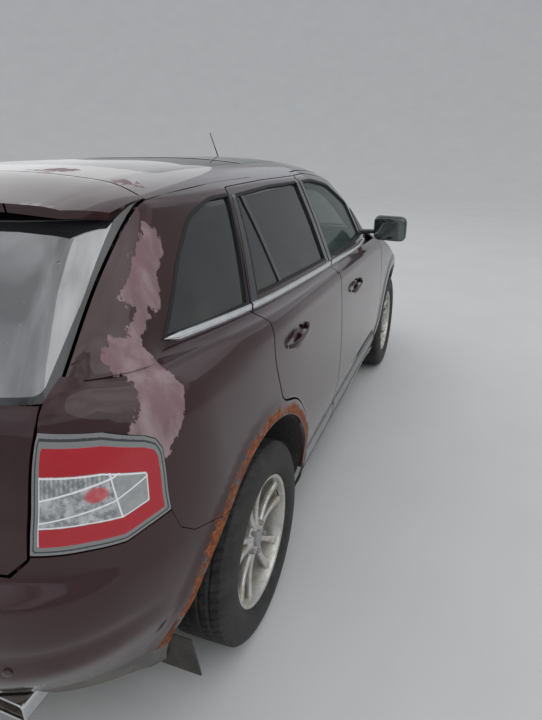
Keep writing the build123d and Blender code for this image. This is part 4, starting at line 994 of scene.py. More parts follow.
@dataclass
class BodyShell:
    """The painted body: fenders, doors, sides, roof, hood, bumpers and tailgate."""

    form: BodyForm
    paint: str = "paint"

    def door_loops(self, surface: PlanSurface, outline: Sequence, grow: float = 0.0) -> Points:
        """A door or window outline on a surface, grown by a margin."""
        loop = densify(rounded(outline), 26.0)
        return surface.side(grown(loop, grow) if grow else loop, 26.0)

    def doors(self) -> None:
        """Each door: a sculpted lower skin with its handle cup, a window frame, and trim inside."""
        rows = (
            ("front", FRONT_DOOR, FRONT_GLASS, FRONT_CUP),
            ("rear", REAR_DOOR, REAR_GLASS, REAR_CUP),
        )
        lower, cabin = self.form.lower, self.form.cabin
        for end, outline, glass, cup in rows:
            body, node = f"door_{end}", (f"door_{end}",)

            def relief(points: Points, cup: Cup = cup) -> Points:
                """The side's sculpt with this door's cup."""
                return sculpt(points) + cup.relief(points)

            skin = [self.door_loops(lower, outline), lower.band(SILL, BELT_TOP)]
            Panel(f"{body}_skin", Region(lower, skin, step=20, relief=relief), body, self.paint,
                  replaces=node).build()
            hole = self.door_loops(cabin, glass)
            frame_loops = [self.door_loops(cabin, outline), cabin.side(self.belt_strip())]
            Panel(f"{body}_frame", Region(cabin, frame_loops, [hole]), body, self.paint,
                  replaces=node).build()
            card = [self.door_loops(lower, outline, -58), lower.band(330, 1160)]
            Panel(f"{body}_card", Region(lower, card, step=34), body, "trim", depth=48, wall=46,
                  edge=6).build()

    @staticmethod
    def belt_strip() -> Points:
        """A side view loop over the cabin: just under the belt to above the roof."""
        x = np.linspace(1300, -1990, 60)
        low = np.column_stack([x, belt(x, 26)])
        return np.vstack([low, [(-1990, 1735), (1300, 1735)]])

    def sides(self) -> None:
        """The fixed sides: sill and quarter panel, pillars and roof rail, and the dark apertures
        behind the doors."""
        lower, cabin = self.form.lower, self.form.cabin
        arch = lower.side(circle(REAR_AXLE, HUB_Z, ARCH_R))
        doors = [self.door_loops(lower, d, SHUT) for d in (FRONT_DOOR, REAR_DOOR)]
        low_edge = lower.side(np.column_stack([np.linspace(935, SEAM_X, 60),
                                               np.full(60, SILL)]))[:60]
        top = lower.tail(np.array([(650, 1138), (650, 1245)]))[:1]
        end = self.gate_edge(lower, 650, 1138, BELT_TOP)
        seam_start = lower.locate(0, [SEAM_X, SEAM_X], [SILL, 700.0])
        belt_end = lower.locate(0, [870.0], [belt(870)])
        zone = np.vstack([low_edge, seam_start[1:], self.seam_line(lower), top, end, belt_end])
        zone[-1, 1] = BELT_TOP
        zone = np.vstack([zone, lower.locate(0, [870.0, 935.0], [340.0, 333.0])])
        skin = Region(lower, [zone], [*doors, arch], step=20, relief=sculpt)
        node = ("body_side",)
        Panel("side_skin", skin, "body", self.paint, wall=60, replaces=node).build()
        upper = self.cabin_zone()
        holes = [self.door_loops(cabin, d, SHUT) for d in (FRONT_DOOR, REAR_DOOR)]
        holes.append(self.door_loops(cabin, QUARTER_GLASS))
        pillars = Region(cabin, [upper], holes, step=20, relief=saddle)
        Panel("pillars", pillars, "body", self.paint, wall=40, replaces=node).build()
        ring = lower.side(np.array([(935, 250), (935, 1100), (935, 1180), (-1640, 1180),
                                    (-1640, 250)]))
        cuts = [self.door_loops(lower, d, -45) for d in (FRONT_DOOR, REAR_DOOR)]
        wide_arch = lower.side(circle(REAR_AXLE, HUB_Z, ARCH_R + 8))
        inner = Region(lower, [ring, lower.band(SILL, BELT_TOP - 4)], [*cuts, wide_arch], step=34)
        Panel("aperture_low", inner, "body", "shadow_paint", depth=80, wall=20,
              replaces=node).build()
        cuts = [self.door_loops(cabin, d, -40) for d in (FRONT_DOOR, REAR_DOOR)]
        cuts.append(self.door_loops(cabin, QUARTER_GLASS, 6))
        inner = Region(cabin, [upper], cuts, step=34)
        Panel("aperture_high", inner, "body", "trim", depth=44, wall=26, edge=6,
              replaces=node).build()

    def seam_line(self, surface: PlanSurface) -> Points:
        """The quarter panel's edge from the wheel arch along the bumper and up round the lamp's
        outer side."""
        x, z = open_run((*SEAM, *LAMP_OUTER), 20).T
        return surface.locate(0, x, z)

    @staticmethod
    def gate_edge(surface: PlanSurface, y: float, low: float, high: float,
                  count: int = 14) -> Points:
        """Points where the surface crosses one y at the tail, from a low to a high row."""
        v = np.linspace(low, high, count)
        place = surface.locate(1, y, v)
        for _ in range(6):
            plan, rise = surface.raw(place[:, 0], v)
            place = np.column_stack([surface.locate(1, y, v - rise * plan[:, 0])[:, 0], v])
        return place

    def cabin_zone(self) -> Points:
        """The fixed upper side: windshield edge, roof ditch, tailgate edge and the belt."""
        cabin = self.form.cabin
        z = np.linspace(1110, 1620, 24)
        front = cabin.locate(2, np.interp(z, (1130, 1620), (742, 602)), z)
        x = np.linspace(325, -1552, 50)
        rail_y = np.interp(-x, (-333, 320, 1552), (606, 652, 652))
        ditch = cabin.over(np.column_stack([x, rail_y + 4]))
        tail = self.gate_edge(cabin, 650, 1655, 1160, 30)
        x = np.linspace(-1950, 1290, 60)
        low = cabin.locate(0, x, np.maximum(belt(x, 24), 1096))
        return np.vstack([front, ditch, tail, low])

    def fenders(self) -> None:
        """The front fenders, from the wall over the shoulder to the hood's shut line."""
        front = self.form.front
        wall = front.locate(0, [870.3, 935.3, 935.3], [340.3, 340.3, SILL])
        low = front.locate(0, np.linspace(935, 1850, 30), SILL)
        nose = front.locate(0, [1850, 1905, 2000, 2000], [600, 735, 770, 900])
        x = np.linspace(2000, 1385, 26)
        hood_y = np.interp(-x, (-2085, -1960, -1850, -1385), (590, 712, 738, 742))
        edge = front.over(np.column_stack([x, hood_y + SHUT + 1]))
        foot = front.over([(1342, 749), (1240, 745), (1180, 758), (1100, 790), (1000, 814),
                           (905, 826), (871, 830)])
        loop = np.vstack([wall, low, nose, edge, foot])
        cuts = [front.side(grown(densify(rounded(FRONT_DOOR), 26), SHUT)),
                front.side(circle(FRONT_AXLE, HUB_Z, ARCH_R)), self.headlamp_loop(2.0)]
        region = Region(front, [loop], cuts, step=22, relief=sculpt)
        Panel("fender_skin", region, "body", self.paint, wall=18, replaces=("fender",)).build()

    def headlamp_loop(self, grow: float = 0.0) -> Points:
        """The headlamp's outline on the front surface."""
        front = self.form.front
        inner = front.locate(2, [505, 500], [778, 883])
        outer = front.locate(0, [1935, 1935], [898, 772])
        top = front.locate(2, np.linspace(520, 740, 10), np.linspace(884, 897, 10))
        bottom = front.locate(2, np.linspace(740, 520, 10), np.linspace(772, 776, 10))
        loop = np.vstack([inner, top, outer, bottom])
        return grown(densify(loop, 20), -grow) if grow else loop

    def hood_and_roof(self) -> None:
        """The hood with its soft ridges and the roof panel round its two panes."""
        plan = np.vstack([HOOD_PLAN, [(1385, 0)]])

        def ridges(points: Points) -> Points:
            """Two soft ridges that spread towards the windshield."""
            centre = 330 + 0.16 * (2215 - points[:, 0])
            ridge = np.exp(-(((np.abs(points[:, 1]) - centre) / 40) ** 2))
            return 5.0 * ridge * np.clip((2150 - points[:, 0]) / 150, 0, 1)

        Panel("hood_skin", Region(self.form.hood, [plan], step=26, relief=ridges), "hood",
              self.paint, Side.CENTRE,
              replaces=("hood",)).build()
        half = np.array([(333, 0), (333, 602), (-320, 648), (-1545, 648), (-1545, 0)], float)
        panes = [rounded([(low, -20, 1), (high, -20, 1), (high, 541, 40), (low, 541, 40)]) for low,
                 high in ROOF_PANES]
        Panel("roof_skin", Region(self.form.roof, [half], panes, step=30), "body", self.paint,
              Side.CENTRE, wall=18,
              replaces=("roof_panel",)).build()
        groove = np.array([(333, 600), (333, 612), (-320, 658), (-1548, 658), (-1548, 646),
                           (-320, 646)], float)
        Panel("roof_ditch", Region(self.form.roof, [groove], step=20), "body", "rubber", depth=5,
              wall=8, edge=1).build()

    def front_bumper(self) -> None:
        """The front bumper's skin with its grille, intake and lamp openings, over a grey lower
        lip."""
        front = self.form.front
        plan = densify(np.array(HOOD_PLAN[:3] + ((2000, 672),)), 25)
        plan = plan[: np.argmin(plan[:, 0]) + 1]
        top = front.over(np.column_stack([plan[:, 0] + SHUT, np.maximum(plan[:, 1], 2)]))
        top[0, 0] = 0.0
        side = front.locate(0, [2000.3, 2000.3, 1905, 1850.3, 1850.3],
                            [880, 769.7, 734.7, 599.7, 350])
        low = front.locate(2, np.linspace(560, 0, 24), NOSE_LOW)
        low = np.vstack([front.locate(0, np.linspace(1860, 2040, 8), NOSE_LOW), low,
                         [(0, NOSE_LOW)]])
        grille = front.nose(rounded([(0, 560, 1), (470, 575, 40), (480, 880, 40), (0, 885, 1)]))
        intake = front.nose(rounded([(0, 352, 1), (520, 356, 20), (505, 440, 25), (0, 448, 1)]))
        for loop in (grille, intake):
            loop[loop[:, 0] < 3, 0] = -30
        cuts = [front.side(circle(FRONT_AXLE, HUB_Z, ARCH_R)), self.headlamp_loop(2.0), grille,
                intake]
        region = Region(front, [np.vstack([top, side, low])], cuts, step=22, relief=sculpt)
        Panel("front_bumper_skin", region, "body", self.paint, Side.CENTRE,
              replaces=("front_bumper",)).build()
        low = front.locate(0, np.linspace(1852, 2000, 8), VALANCE_LOW)
        low = np.vstack([low, front.locate(2, np.linspace(600, 0, 24), VALANCE_LOW),
                         [(0, VALANCE_LOW)]])
        up = np.vstack([front.locate(2, np.linspace(0, 600, 25), VALANCE_TOP),
                        front.locate(0, np.linspace(2010, 1852, 8), VALANCE_TOP)])
        up[:, 1] = VALANCE_TOP
        lip = Region(front, [np.vstack([low, up])], [front.side(circle(FRONT_AXLE, HUB_Z, ARCH_R))],
                     step=22)
        Panel("front_valance", lip, "body", "grey", Side.CENTRE, depth=3, wall=18,
              replaces=("front_bumper",)).build()

    def rear_bumper(self) -> None:
        """The rear bumper's painted skin and the grey valance under it."""
        lower = self.form.lower
        arch = lower.side(circle(REAR_AXLE, HUB_Z, ARCH_R))
        x, z = (open_run((*SEAM, *LAMP_UNDER), 20) - (0.5, 2.5)).T
        seam = lower.locate(0, x, z)
        under_lamp = lower.locate(1, [651, 648, 606, 603, 300, 0], [866, 857, 816, 817, 817, 817])
        under_lamp[-1, 0] = lower.end
        rows = (("rear_bumper_skin", 352.0, None, self.paint, 0.0),
                ("rear_valance", SILL, 349.0, "grey", 4.0))
        for name, low_z, high_z, finish, depth in rows:
            bottom = lower.locate(1, np.linspace(0, 700, 24), low_z)
            bottom[0, 0] = lower.end
            bottom = np.vstack([bottom, lower.locate(0, np.linspace(-2080, SEAM_X, 14), low_z)])
            if high_z is None:
                loop = np.vstack([bottom, lower.locate(0, [-1757.5], [700.0]), seam, under_lamp])
            else:
                loop = np.vstack([bottom,
                                  np.column_stack([bottom[::-1, 0], np.full(len(bottom), high_z)])])
            cuts = [arch]
            if high_z is not None:
                cuts = [arch, lower.tail(rounded_rectangle((390, 200), (526, 331), 12))]
            region = Region(lower, [loop], cuts, step=20, relief=self.bumper_relief
                            if high_z is None else flare)
            Panel(name, region, "body", finish, Side.CENTRE, depth=depth,
                  replaces=("rear_bumper",)).build()

    @staticmethod
    def bumper_relief(points: Points) -> Points:
        """The rear bumper's step: a soft shelf line across the tail that fades round the corner."""
        tail = np.clip((-1950 - points[:, 0]) / 150, 0, 1)
        return flare(points) - 6.0 * tail * np.exp(-(((points[:, 2] - 610) / 30) ** 2))

    def tailgate(self) -> None:
        """The tailgate's lower skin, the frame round its window, the spoiler and the trim
        inside."""
        lower, cabin = self.form.lower, self.form.cabin
        low = lower.locate(1, np.append(np.linspace(0, 590, 20), [600, 643]),
                           np.append(np.full(20, 824.0), [824, 862]))
        low[0, 0] = lower.end
        edge = self.gate_edge(lower, 643, 864, 1126)
        top = lower.locate(1, np.linspace(630, 0, 24), SCREEN[0][1] - 5.0)
        top[-1, 0] = lower.end
        skin = Region(lower, [np.vstack([low, edge, top])], step=13, relief=self.plate_recess)
        Panel("tailgate_skin", skin, "tailgate", self.paint, Side.CENTRE,
              replaces=("tailgate",)).build()
        bottom = self.gate_edge(cabin, 643, 1190, 1650, 26)
        start = np.array([(cabin.end, 1190)])
        top = np.column_stack([np.linspace(bottom[-1, 0], cabin.end, 20), np.full(20, 1650.0)])
        glass = cabin.tail(rounded(SCREEN))
        glass[glass[:, 0] > cabin.end - 4, 0] = cabin.end + 60
        frame_region = Region(cabin, [np.vstack([start, bottom, top])], [glass], step=22)
        Panel("tailgate_frame", frame_region, "tailgate", "gloss_black", Side.CENTRE,
              replaces=("tailgate",)).build()
        plan = np.vstack([SPOILER_PLAN, [(-1552, 0)]])

        def lip(points: Points) -> Points:
            """The spoiler's tail rises a little at its edge."""
            return 5.0 * np.clip((-1640 - points[:, 0]) / 200, 0, 1) ** 2

        Panel("spoiler", Region(self.form.roof, [plan], step=24, relief=lip), "tailgate",
              self.paint, Side.CENTRE,
              wall=24, edge=5, replaces=("tailgate",)).build()
        card = Region(lower, [lower.tail(rounded([(-10, 850, 1), (590, 860, 40), (600, 1215, 30),
                                                  (-10, 1220, 1)]))], step=34)
        for loop in card.keep:
            loop[loop[:, 0] > lower.end - 12, 0] = lower.end
        Panel("tailgate_card", card, "tailgate", "trim", Side.CENTRE, depth=30, wall=12,
              edge=4).build()

    @staticmethod
    def plate_recess(points: Points) -> Points:
        """The number plate's hollow, with soft walls."""
        y, z = np.abs(points[:, 1]), points[:, 2]
        wall = np.clip((278 - y) / 22, 0, 1) * np.clip((z - 868) / 20, 0,
                                                       1) * np.clip((1030 - z) / 20, 0, 1)
        return -20.0 * wall**2 * (3 - 2 * wall)

    def build(self) -> None:
        """Builds every painted panel."""
        self.doors()
        self.sides()
        self.fenders()
        self.hood_and_roof()
        self.front_bumper()
        self.rear_bumper()
        self.tailgate()


@dataclass(frozen=True)
class GlassFinish:
    """Window glass: a coloured see-through pane, a little dusty towards its lower edge."""

    name: str
    colour: tuple
    alpha: float
    drops: bool = False
    bend: float = 1.7

    def build(self) -> bpy.types.Material:
        """The material: alpha blends the pane, dust and raindrops raise it in spots."""
        graph = Graph(self.name)
        z = graph.axes()[2]
        dust = graph.noise(5.0, 6.0).step(0.35, 0.8) * z.step(1.6, 1.15) * 0.10
        colour = graph.mix(dust, self.colour, (0.45, 0.43, 0.38))
        alpha = dust * 0.5 + self.alpha
        graph.set(Base_Color=colour, Roughness=dust * 0.6 + 0.03, Specular_IOR_Level=0.8,
                  IOR=self.bend)
        if self.drops:
            cells = graph.node("ShaderNodeTexVoronoi", {},
                               {"Vector": graph.place, "Scale": 34.0, "Randomness": 1.0},
                               "Distance")
            pick = graph.noise(13.0, 2.0).step(0.61, 0.64)
            drop = cells.step(0.16, 0.10) * pick
            alpha = alpha + drop * 0.2
            graph.bump(drop, 1.2 * MM)
        graph.set(Alpha=alpha)
        return graph.material


@dataclass(frozen=True)
class TyreFinish:
    """Tyre rubber, browned and dusty in patches."""

    name: str = "tyre"

    def build(self) -> bpy.types.Material:
        """The material: dust in noise over the rubber, with a fine grain."""
        graph = Graph(self.name)
        dust = graph.noise(18.0, 6.0).step(0.35, 0.8)
        colour = graph.mix(dust * 0.5, (0.022, 0.022, 0.023), (0.10, 0.09, 0.08))
        graph.set(Base_Color=colour, Roughness=0.62 + dust * 0.25, Specular_IOR_Level=0.35)
        graph.bump(graph.noise(420.0, 3.0), 0.5 * MM)
        return graph.material


@dataclass(frozen=True)
class AlloyFinish:
    """Painted alloy, stained yellow and brown by road dirt and brake dust."""

    name: str = "rim_alloy"

    def build(self) -> bpy.types.Material:
        """The material: stains in noise over silver paint, duller where stained."""
        graph = Graph(self.name)
        stain = graph.noise(24.0, 7.0, 0.65).step(0.42, 0.72)
        specks = graph.noise(160.0, 3.0).step(0.62, 0.7)
        colour = graph.mix(stain * 0.75, (0.62, 0.62, 0.60), (0.36, 0.30, 0.20))
        colour = graph.mix(specks * 0.6, colour, (0.20, 0.15, 0.10))
        graph.set(Base_Color=colour, Roughness=0.30 + stain * 0.3, Metallic=0.75 - stain * 0.5)
        graph.bump(stain + specks, 0.15 * MM)
        return graph.material


@dataclass(frozen=True)
class FabricFinish:
    """Woven cloth from two crossed waves of threads."""

    name: str = "seat_fabric"
    colour: tuple = (0.12, 0.108, 0.095)
    threads: float = 420.0

    def build(self) -> bpy.types.Material:
        """The material: waves across x and y and z make the threads, noise the wear."""
        graph = Graph(self.name)
        x, y, z = graph.axes()
        waves = []
        for along in (x + z * 0.5, y):
            waves.append((along * (self.threads * 6.0)).wave())
        weave = waves[0] * waves[1]
        worn = graph.noise(12.0, 4.0)
        light = tuple(c * 1.5 for c in self.colour)
        graph.set(Base_Color=graph.mix(weave * 0.5 + worn * 0.4, self.colour, light), Roughness=0.9)
        graph.bump(weave, 0.6 * MM)
        return graph.material


@dataclass(frozen=True)
class TailLensFinish:
    """The tail lamp's lens: its pattern is drawn over its own coordinates, u from the outer edge in
    and v upwards."""

    name: str = "lamp_red"
    red: tuple = (0.36, 0.002, 0.010)
    silver: tuple = (0.20, 0.205, 0.205)
    groove: tuple = (0.035, 0.04, 0.04)

    def build(self) -> bpy.types.Material:
        """The material: nested frames from the edge distance, then ribs and fluting inside."""
        graph = Graph(self.name)
        columns = []
        for layer in ("lens", "rim"):
            made = graph.tree.nodes.new("ShaderNodeUVMap")
            made.uv_map = layer
            split = graph.tree.nodes.new("ShaderNodeSeparateXYZ")
            graph.tree.links.new(made.outputs[0], split.inputs[0])
            columns += [Signal(graph, split.outputs[0]), Signal(graph, split.outputs[1])]
        u, v, rim, band = columns
        inside = rim.step(0.0185, 0.0195)
        red = inside * band.step(0.0625, 0.0615) * u.step(0.945, 0.940)
        reach = 1.0 - u
        far = graph.node("ShaderNodeMath", {"operation": "MAXIMUM"}, {0: reach - 0.57, 1: 0.0})
        climb = reach * 0.175 + far * 0.30
        clear_area: Union[Signal, float] = 1.0
        lines = [v - climb - 0.36, v - climb - 0.55, u - v * 0.17 - 0.33, band - 0.0645,
                 rim - 0.0205]
        for line, thick in zip(lines, (0.007, 0.007, 0.006, 0.0014, 0.0012)):
            gap = graph.node("ShaderNodeMath", {"operation": "ABSOLUTE"}, {0: line})
            clear_area = gap.step(thick * 0.8, thick * 1.3) * clear_area
        flutes = (u * 190.0).wave()
        facets = graph.noise(55.0, 4.0, 0.6)
        far_cell = u.step(0.44, 0.40)
        clear = graph.mix(facets.step(0.3, 0.7), (0.16, 0.17, 0.175), (0.50, 0.51, 0.52))
        clear = graph.mix(far_cell * 0.8, clear, (0.30, 0.31, 0.31))
        top_row = (v - climb).step(0.55, 0.57)
        clear = graph.mix(flutes * top_row * (1.0 - far_cell) * 0.6, clear, (0.12, 0.125, 0.13))
        bulb = ((u - 0.55) ** 2.0 * 2.0 + (v - 0.55) ** 2.0 * 4.0).step(0.020, 0.008)
        bulb = bulb * (1.0 - top_row) * (1.0 - far_cell)
        clear = graph.mix(bulb * 0.8, clear, (0.52, 0.03, 0.04))
        inner = graph.mix(clear_area, (0.80, 0.81, 0.82), clear)
        body = graph.mix(red, inner,
                         graph.mix(graph.noise(30.0, 2.0) * 0.5, self.red, (0.50, 0.010, 0.028)))
        border = graph.mix(rim.step(0.0060, 0.0066), self.silver, self.groove)
        border = graph.mix(rim.step(0.0098, 0.0104), border, self.silver)
        colour = graph.mix(inside, border, body)
        graph.set(Base_Color=colour, Roughness=facets * 0.12 + 0.10, Coat_Weight=0.55,
                  Coat_Roughness=0.02)
        graph.set(Emission_Color=colour, Emission_Strength=0.05)
        graph.bump(flutes * top_row * 0.4 + facets * 0.6 + (1.0 - clear_area), 0.6 * MM, 0.6)
        return graph.material


PLAIN_FINISHES = (
    Finish("shadow_paint", (0.020, 0.006, 0.008), 0.55, dust=0.3),
    Finish("chrome", (0.78, 0.79, 0.80), 0.16, 1.0, mottle=0.06, grain=0.02),
    Finish("black", (0.012, 0.012, 0.013), 0.42, coat=0.15, grain=0.05, dust=0.35),
    Finish("gloss_black", (0.006, 0.006, 0.007), 0.10, coat=1.0, mottle=0.3),
    Finish("rubber", (0.010, 0.010, 0.010), 0.62, grain=0.08),
    Finish("grey", (0.115, 0.115, 0.118), 0.66, grain=0.10, dust=0.5),
    Finish("silver_trim", (0.33, 0.34, 0.35), 0.42, 0.5, dust=0.5, grain=0.03),
    Finish("trim", (0.055, 0.053, 0.050), 0.78, grain=0.20, grain_scale=500),
    Finish("dash", (0.034, 0.034, 0.037), 0.70, grain=0.20, grain_scale=450),
    Finish("headliner", (0.32, 0.31, 0.29), 0.92, grain=0.25, grain_scale=600),
    Finish("carpet", (0.035, 0.034, 0.036), 0.95, mottle=0.4, mottle_scale=300, grain=1.2,
           grain_scale=1200),
    Finish("lamp_clear", (0.72, 0.75, 0.78), 0.06, coat=1.0, alpha=0.35, mottle=0.05),
    Finish("reflector", (0.70, 0.72, 0.74), 0.14, 0.9, mottle=0.2, mottle_scale=60, grain=0.3,
           grain_scale=150),
    Finish("amber", (0.65, 0.20, 0.02), 0.15, coat=1.0, glow=0.05),
    Finish("bright_red", (0.50, 0.015, 0.02), 0.15, coat=1.0, glow=0.08),
    Finish("mirror_glass", (0.16, 0.18, 0.18), 0.03, 1.0, mottle=0.03),
    Finish("plate_white", (0.62, 0.63, 0.63), 0.45, mottle=0.06, dust=0.2),
    Finish("chassis", (0.018, 0.018, 0.019), 0.60, mottle=0.5, mottle_scale=12, grain=0.15,
           dust=0.7),
    Finish("liner_felt", (0.034, 0.034, 0.035), 0.90, mottle=0.4, mottle_scale=90, grain=0.8,
           grain_scale=700, dust=0.25),
    Finish("floor_coat", (0.030, 0.030, 0.032), 0.70, mottle=0.4, grain=0.3, grain_scale=300,
           dust=0.5),
    Finish("iron", (0.17, 0.12, 0.09), 0.75, 0.5, mottle=0.5, mottle_scale=60, grain=0.4,
           grain_scale=250),
    Finish("cast", (0.30, 0.30, 0.31), 0.52, 0.8, mottle=0.25, grain=0.4, grain_scale=300,
           dust=0.4),
    Finish("steel_tube", (0.34, 0.29, 0.25), 0.42, 0.85, mottle=0.4, mottle_scale=20, grain=0.1,
           dust=0.5),
    Finish("disc_steel", (0.40, 0.38, 0.36), 0.32, 0.95, mottle=0.3, mottle_scale=40, grain=0.08),
    Finish("tank_plastic", (0.020, 0.020, 0.021), 0.55, mottle=0.3, grain=0.15, dust=0.6),
)
SPECIAL_FINISHES = (
    PaintFinish(), GlassFinish("clear_glass", (0.050, 0.085, 0.075), 0.42),
    GlassFinish("tinted_glass", (0.010, 0.013, 0.013), 0.86),
    GlassFinish("rear_screen", (0.030, 0.034, 0.037), 0.92, True, 2.5), TyreFinish(), AlloyFinish(),
    FabricFinish(), TailLensFinish(),
)
RECORD_SLOTS = {
    "paint": "body_paint", "shadow_paint": "body_paint", "clear_glass": "clear_glass",
    "tinted_glass": "tinted_glass",
    "rear_screen": "tinted_glass", "gloss_black": "black_plastic", "lamp_red": "lamp_red",
    "bright_red": "lamp_red",
    "lamp_clear": "lamp_clear", "reflector": "lamp_clear", "black": "black_plastic",
    "rubber": "black_plastic",
    "tank_plastic": "black_plastic", "grey": "grey_plastic", "liner_felt": "grey_plastic",
    "floor_coat": "floor_paint",
    "carpet": "floor_paint", "chassis": "chassis_paint", "cast": "cast_metal",
    "steel_tube": "exhaust_steel",
    "iron": "knuckle_iron", "disc_steel": "knuckle_iron", "rim_alloy": "rim_alloy", "tyre": "tyre",
    "seat_fabric": "seat_fabric", "dash": "dash_plastic", "trim": "dash_plastic",
    "headliner": "dash_plastic",
}


@dataclass
class Paintbox:
    """Every finish by name, built once."""

    made: dict = field(default_factory=dict)

    def __post_init__(self) -> None:
        """Builds the materials."""
        for finish in (*PLAIN_FINISHES, *SPECIAL_FINISHES):
            self.made[finish.name] = finish.build()
        self.made["paint"] = self.made.pop("body_paint")

    def dress(self, piece: bpy.types.Object, name: str) -> None:
        """Gives a piece one finish."""
        piece.data.materials.clear()
        piece.data.materials.append(self.made[name])
        name in RECORD_SLOTS


# Free shapes


OTHER_WAY = [0, 3, 2, 1]


def grid_faces(rows: int, columns: int, round_rows: bool = False,
               round_columns: bool = False) -> Points:
    """The quads of a grid of points; round rows or columns join the last to the first."""
    i, j = np.meshgrid(np.arange(rows if round_rows else rows - 1),
                       np.arange(columns if round_columns else columns - 1), indexing="ij")
    k, n = (i + 1) % rows, (j + 1) % columns
    return np.stack([i * columns + j, i * columns + n, k * columns + n, k * columns + j],
                    axis=-1).reshape(-1, 4)


def sweep(path: Points, section: Points, scale: Optional[Points] = None,
          up: tuple = (0, 0, 1)) -> tuple[Points, list]:
    """A closed tube along a path.

    Args:
        path: the centreline in millimetres.
        section: its cross section's rows (across, up), a closed loop.
        scale: the section's size at each path point, one column or two.
        up: a direction that the section's second column leans towards.

    Returns:
        Points in millimetres and faces; both ends are capped.
    """
    path, section = np.asarray(path, float), np.asarray(section, float)
    tangent = unit(np.gradient(path, axis=0))
    side = unit(np.cross(tangent, np.asarray(up, float)))
    rise = np.cross(side, tangent)
    rows_of_scale = 1.0 if scale is None else np.reshape(scale, (len(path), -1))
    size = np.broadcast_to(rows_of_scale, (len(path), 2))
    rows = path[:, None] + side[:, None] * (section[None, :, :1] * size[:, None, :1])
    rows = rows + rise[:, None] * (section[None, :, 1:] * size[:, None, 1:])
    count, around = len(path), len(section)
    quads = grid_faces(count, around, round_columns=True)
    faces = quads.tolist() + [list(range(around))[::-1],
                              list(range((count - 1) * around, count * around))]
    return rows.reshape(-1, 3), faces


def oval(wide: float, high: float, count: int = 16, power: float = 0.7) -> Points:
    """A rounded cross section: each side's cosine and sine are raised to the power."""
    turn = np.linspace(0, 2 * np.pi, count, endpoint=False)
    c, s = np.cos(turn), np.sin(turn)
    return np.column_stack([np.sign(c) * np.abs(c) ** power * wide / 2,
                            np.sign(s) * np.abs(s) ** power * high / 2])


def rounded_box(low: Sequence, high: Sequence, radius: float, flat: int = 3) -> tuple[Points, list]:
    """A box with round edges: each face's grid point is pulled to the radius round the box's inner
    core."""
    low, high = np.asarray(low, float), np.asarray(high, float)
    centre, half = (low + high) / 2, (high - low) / 2
    radius = min(radius, *(half * 0.98))
    bend = 1 - np.cos(np.linspace(0, np.pi / 2, 5))
    ticks = []
    for h in half:
        start = -h + radius * bend
        middle = np.linspace(-(h - radius), h - radius, flat + 2)[1:-1]
        ticks.append(np.concatenate([start, middle, -start[::-1]]))
    points, faces, base = [], [], 0
    for axis in range(3):
        for sign in (-1, 1):
            b, c = (axis + 1) % 3, (axis + 2) % 3
            grid_b, grid_c = np.meshgrid(ticks[b], ticks[c], indexing="ij")
            p = np.zeros((grid_b.size, 3))
            p[:, axis], p[:, b], p[:, c] = sign * half[axis], grid_b.ravel(), grid_c.ravel()
            core = np.clip(p, -(half - radius), half - radius)
            arm = p - core
            points.append(core + arm * (radius / np.linalg.norm(arm, axis=1))[:, None])
            nb, nc = grid_b.shape
            quad = base + grid_faces(nb, nc)[:, OTHER_WAY]
            faces.append(quad if sign > 0 else quad[:, ::-1])
            base += nb * nc
    points, quads = np.vstack(points), np.vstack(faces)
    _, first, index = np.unique(np.round(points * 1e3).astype(np.int64), axis=0, return_index=True,
                                return_inverse=True)
    return centre + points[first], index.reshape(-1)[quads].tolist()


def lathe(profile: Points, centre: tuple, segments: int = 96) -> tuple[Points, list]:
    """A profile of (y, radius) rows turned about a wheel's axle line through the centre (x, z)."""
    profile = np.asarray(profile, float)
    turn = np.linspace(0, 2 * np.pi, segments, endpoint=False)
    y = np.broadcast_to(profile[:, 0], (segments, len(profile)))
    x = centre[0] + np.cos(turn)[:, None] * profile[None, :, 1]
    z = centre[1] + np.sin(turn)[:, None] * profile[None, :, 1]
    points = np.stack([x, y, z], axis=-1).reshape(-1, 3)
    return points, grid_faces(segments, len(profile), True, True).tolist()


def joined(parts: Sequence) -> tuple[Points, list]:
    """Several shapes' points and faces as one."""
    points, faces, base = [], [], 0
    for part_points, part_faces in parts:
        points.append(np.asarray(part_points, float))
        faces += [[base + int(v) for v in face] for face in part_faces]
        base += len(part_points)
    return np.vstack(points), faces


def outward(piece: bpy.types.Object) -> None:
    """Turns every face of a closed shape to look out."""
    mesh = bmesh.new()
    mesh.from_mesh(piece.data)
    bmesh.ops.recalc_face_normals(mesh, faces=mesh.faces)
    mesh.to_mesh(piece.data)
    mesh.free()


@dataclass
class Solid:
    """A free closed shape on a body, made once or on both sides."""

    name: str
    shape: tuple
    body: str
    finish: str
    side: Side = Side.PAIR
    replaces: Sequence[str] = ()

    def build(self) -> list[bpy.types.Object]:
        """Makes the piece, or the left one and its mirror image."""
        points, faces = self.shape
        points = np.asarray(points, float) * MM
        ends = ("left", "right") if self.side is Side.PAIR else ("",)
        pieces = []
        for end in ends:
            body = sided(self.body, frame["bodies"], end)
            place = reflect(points) if end == "right" else points
            piece = make_object(f"{self.name}_{end}".rstrip("_"), place, faces, body, self.finish)
            outward(piece)
            settle(piece)
            for node in self.replaces:
                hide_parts(sided(node, frame["nodes"], end))
            pieces.append(piece)
        return pieces


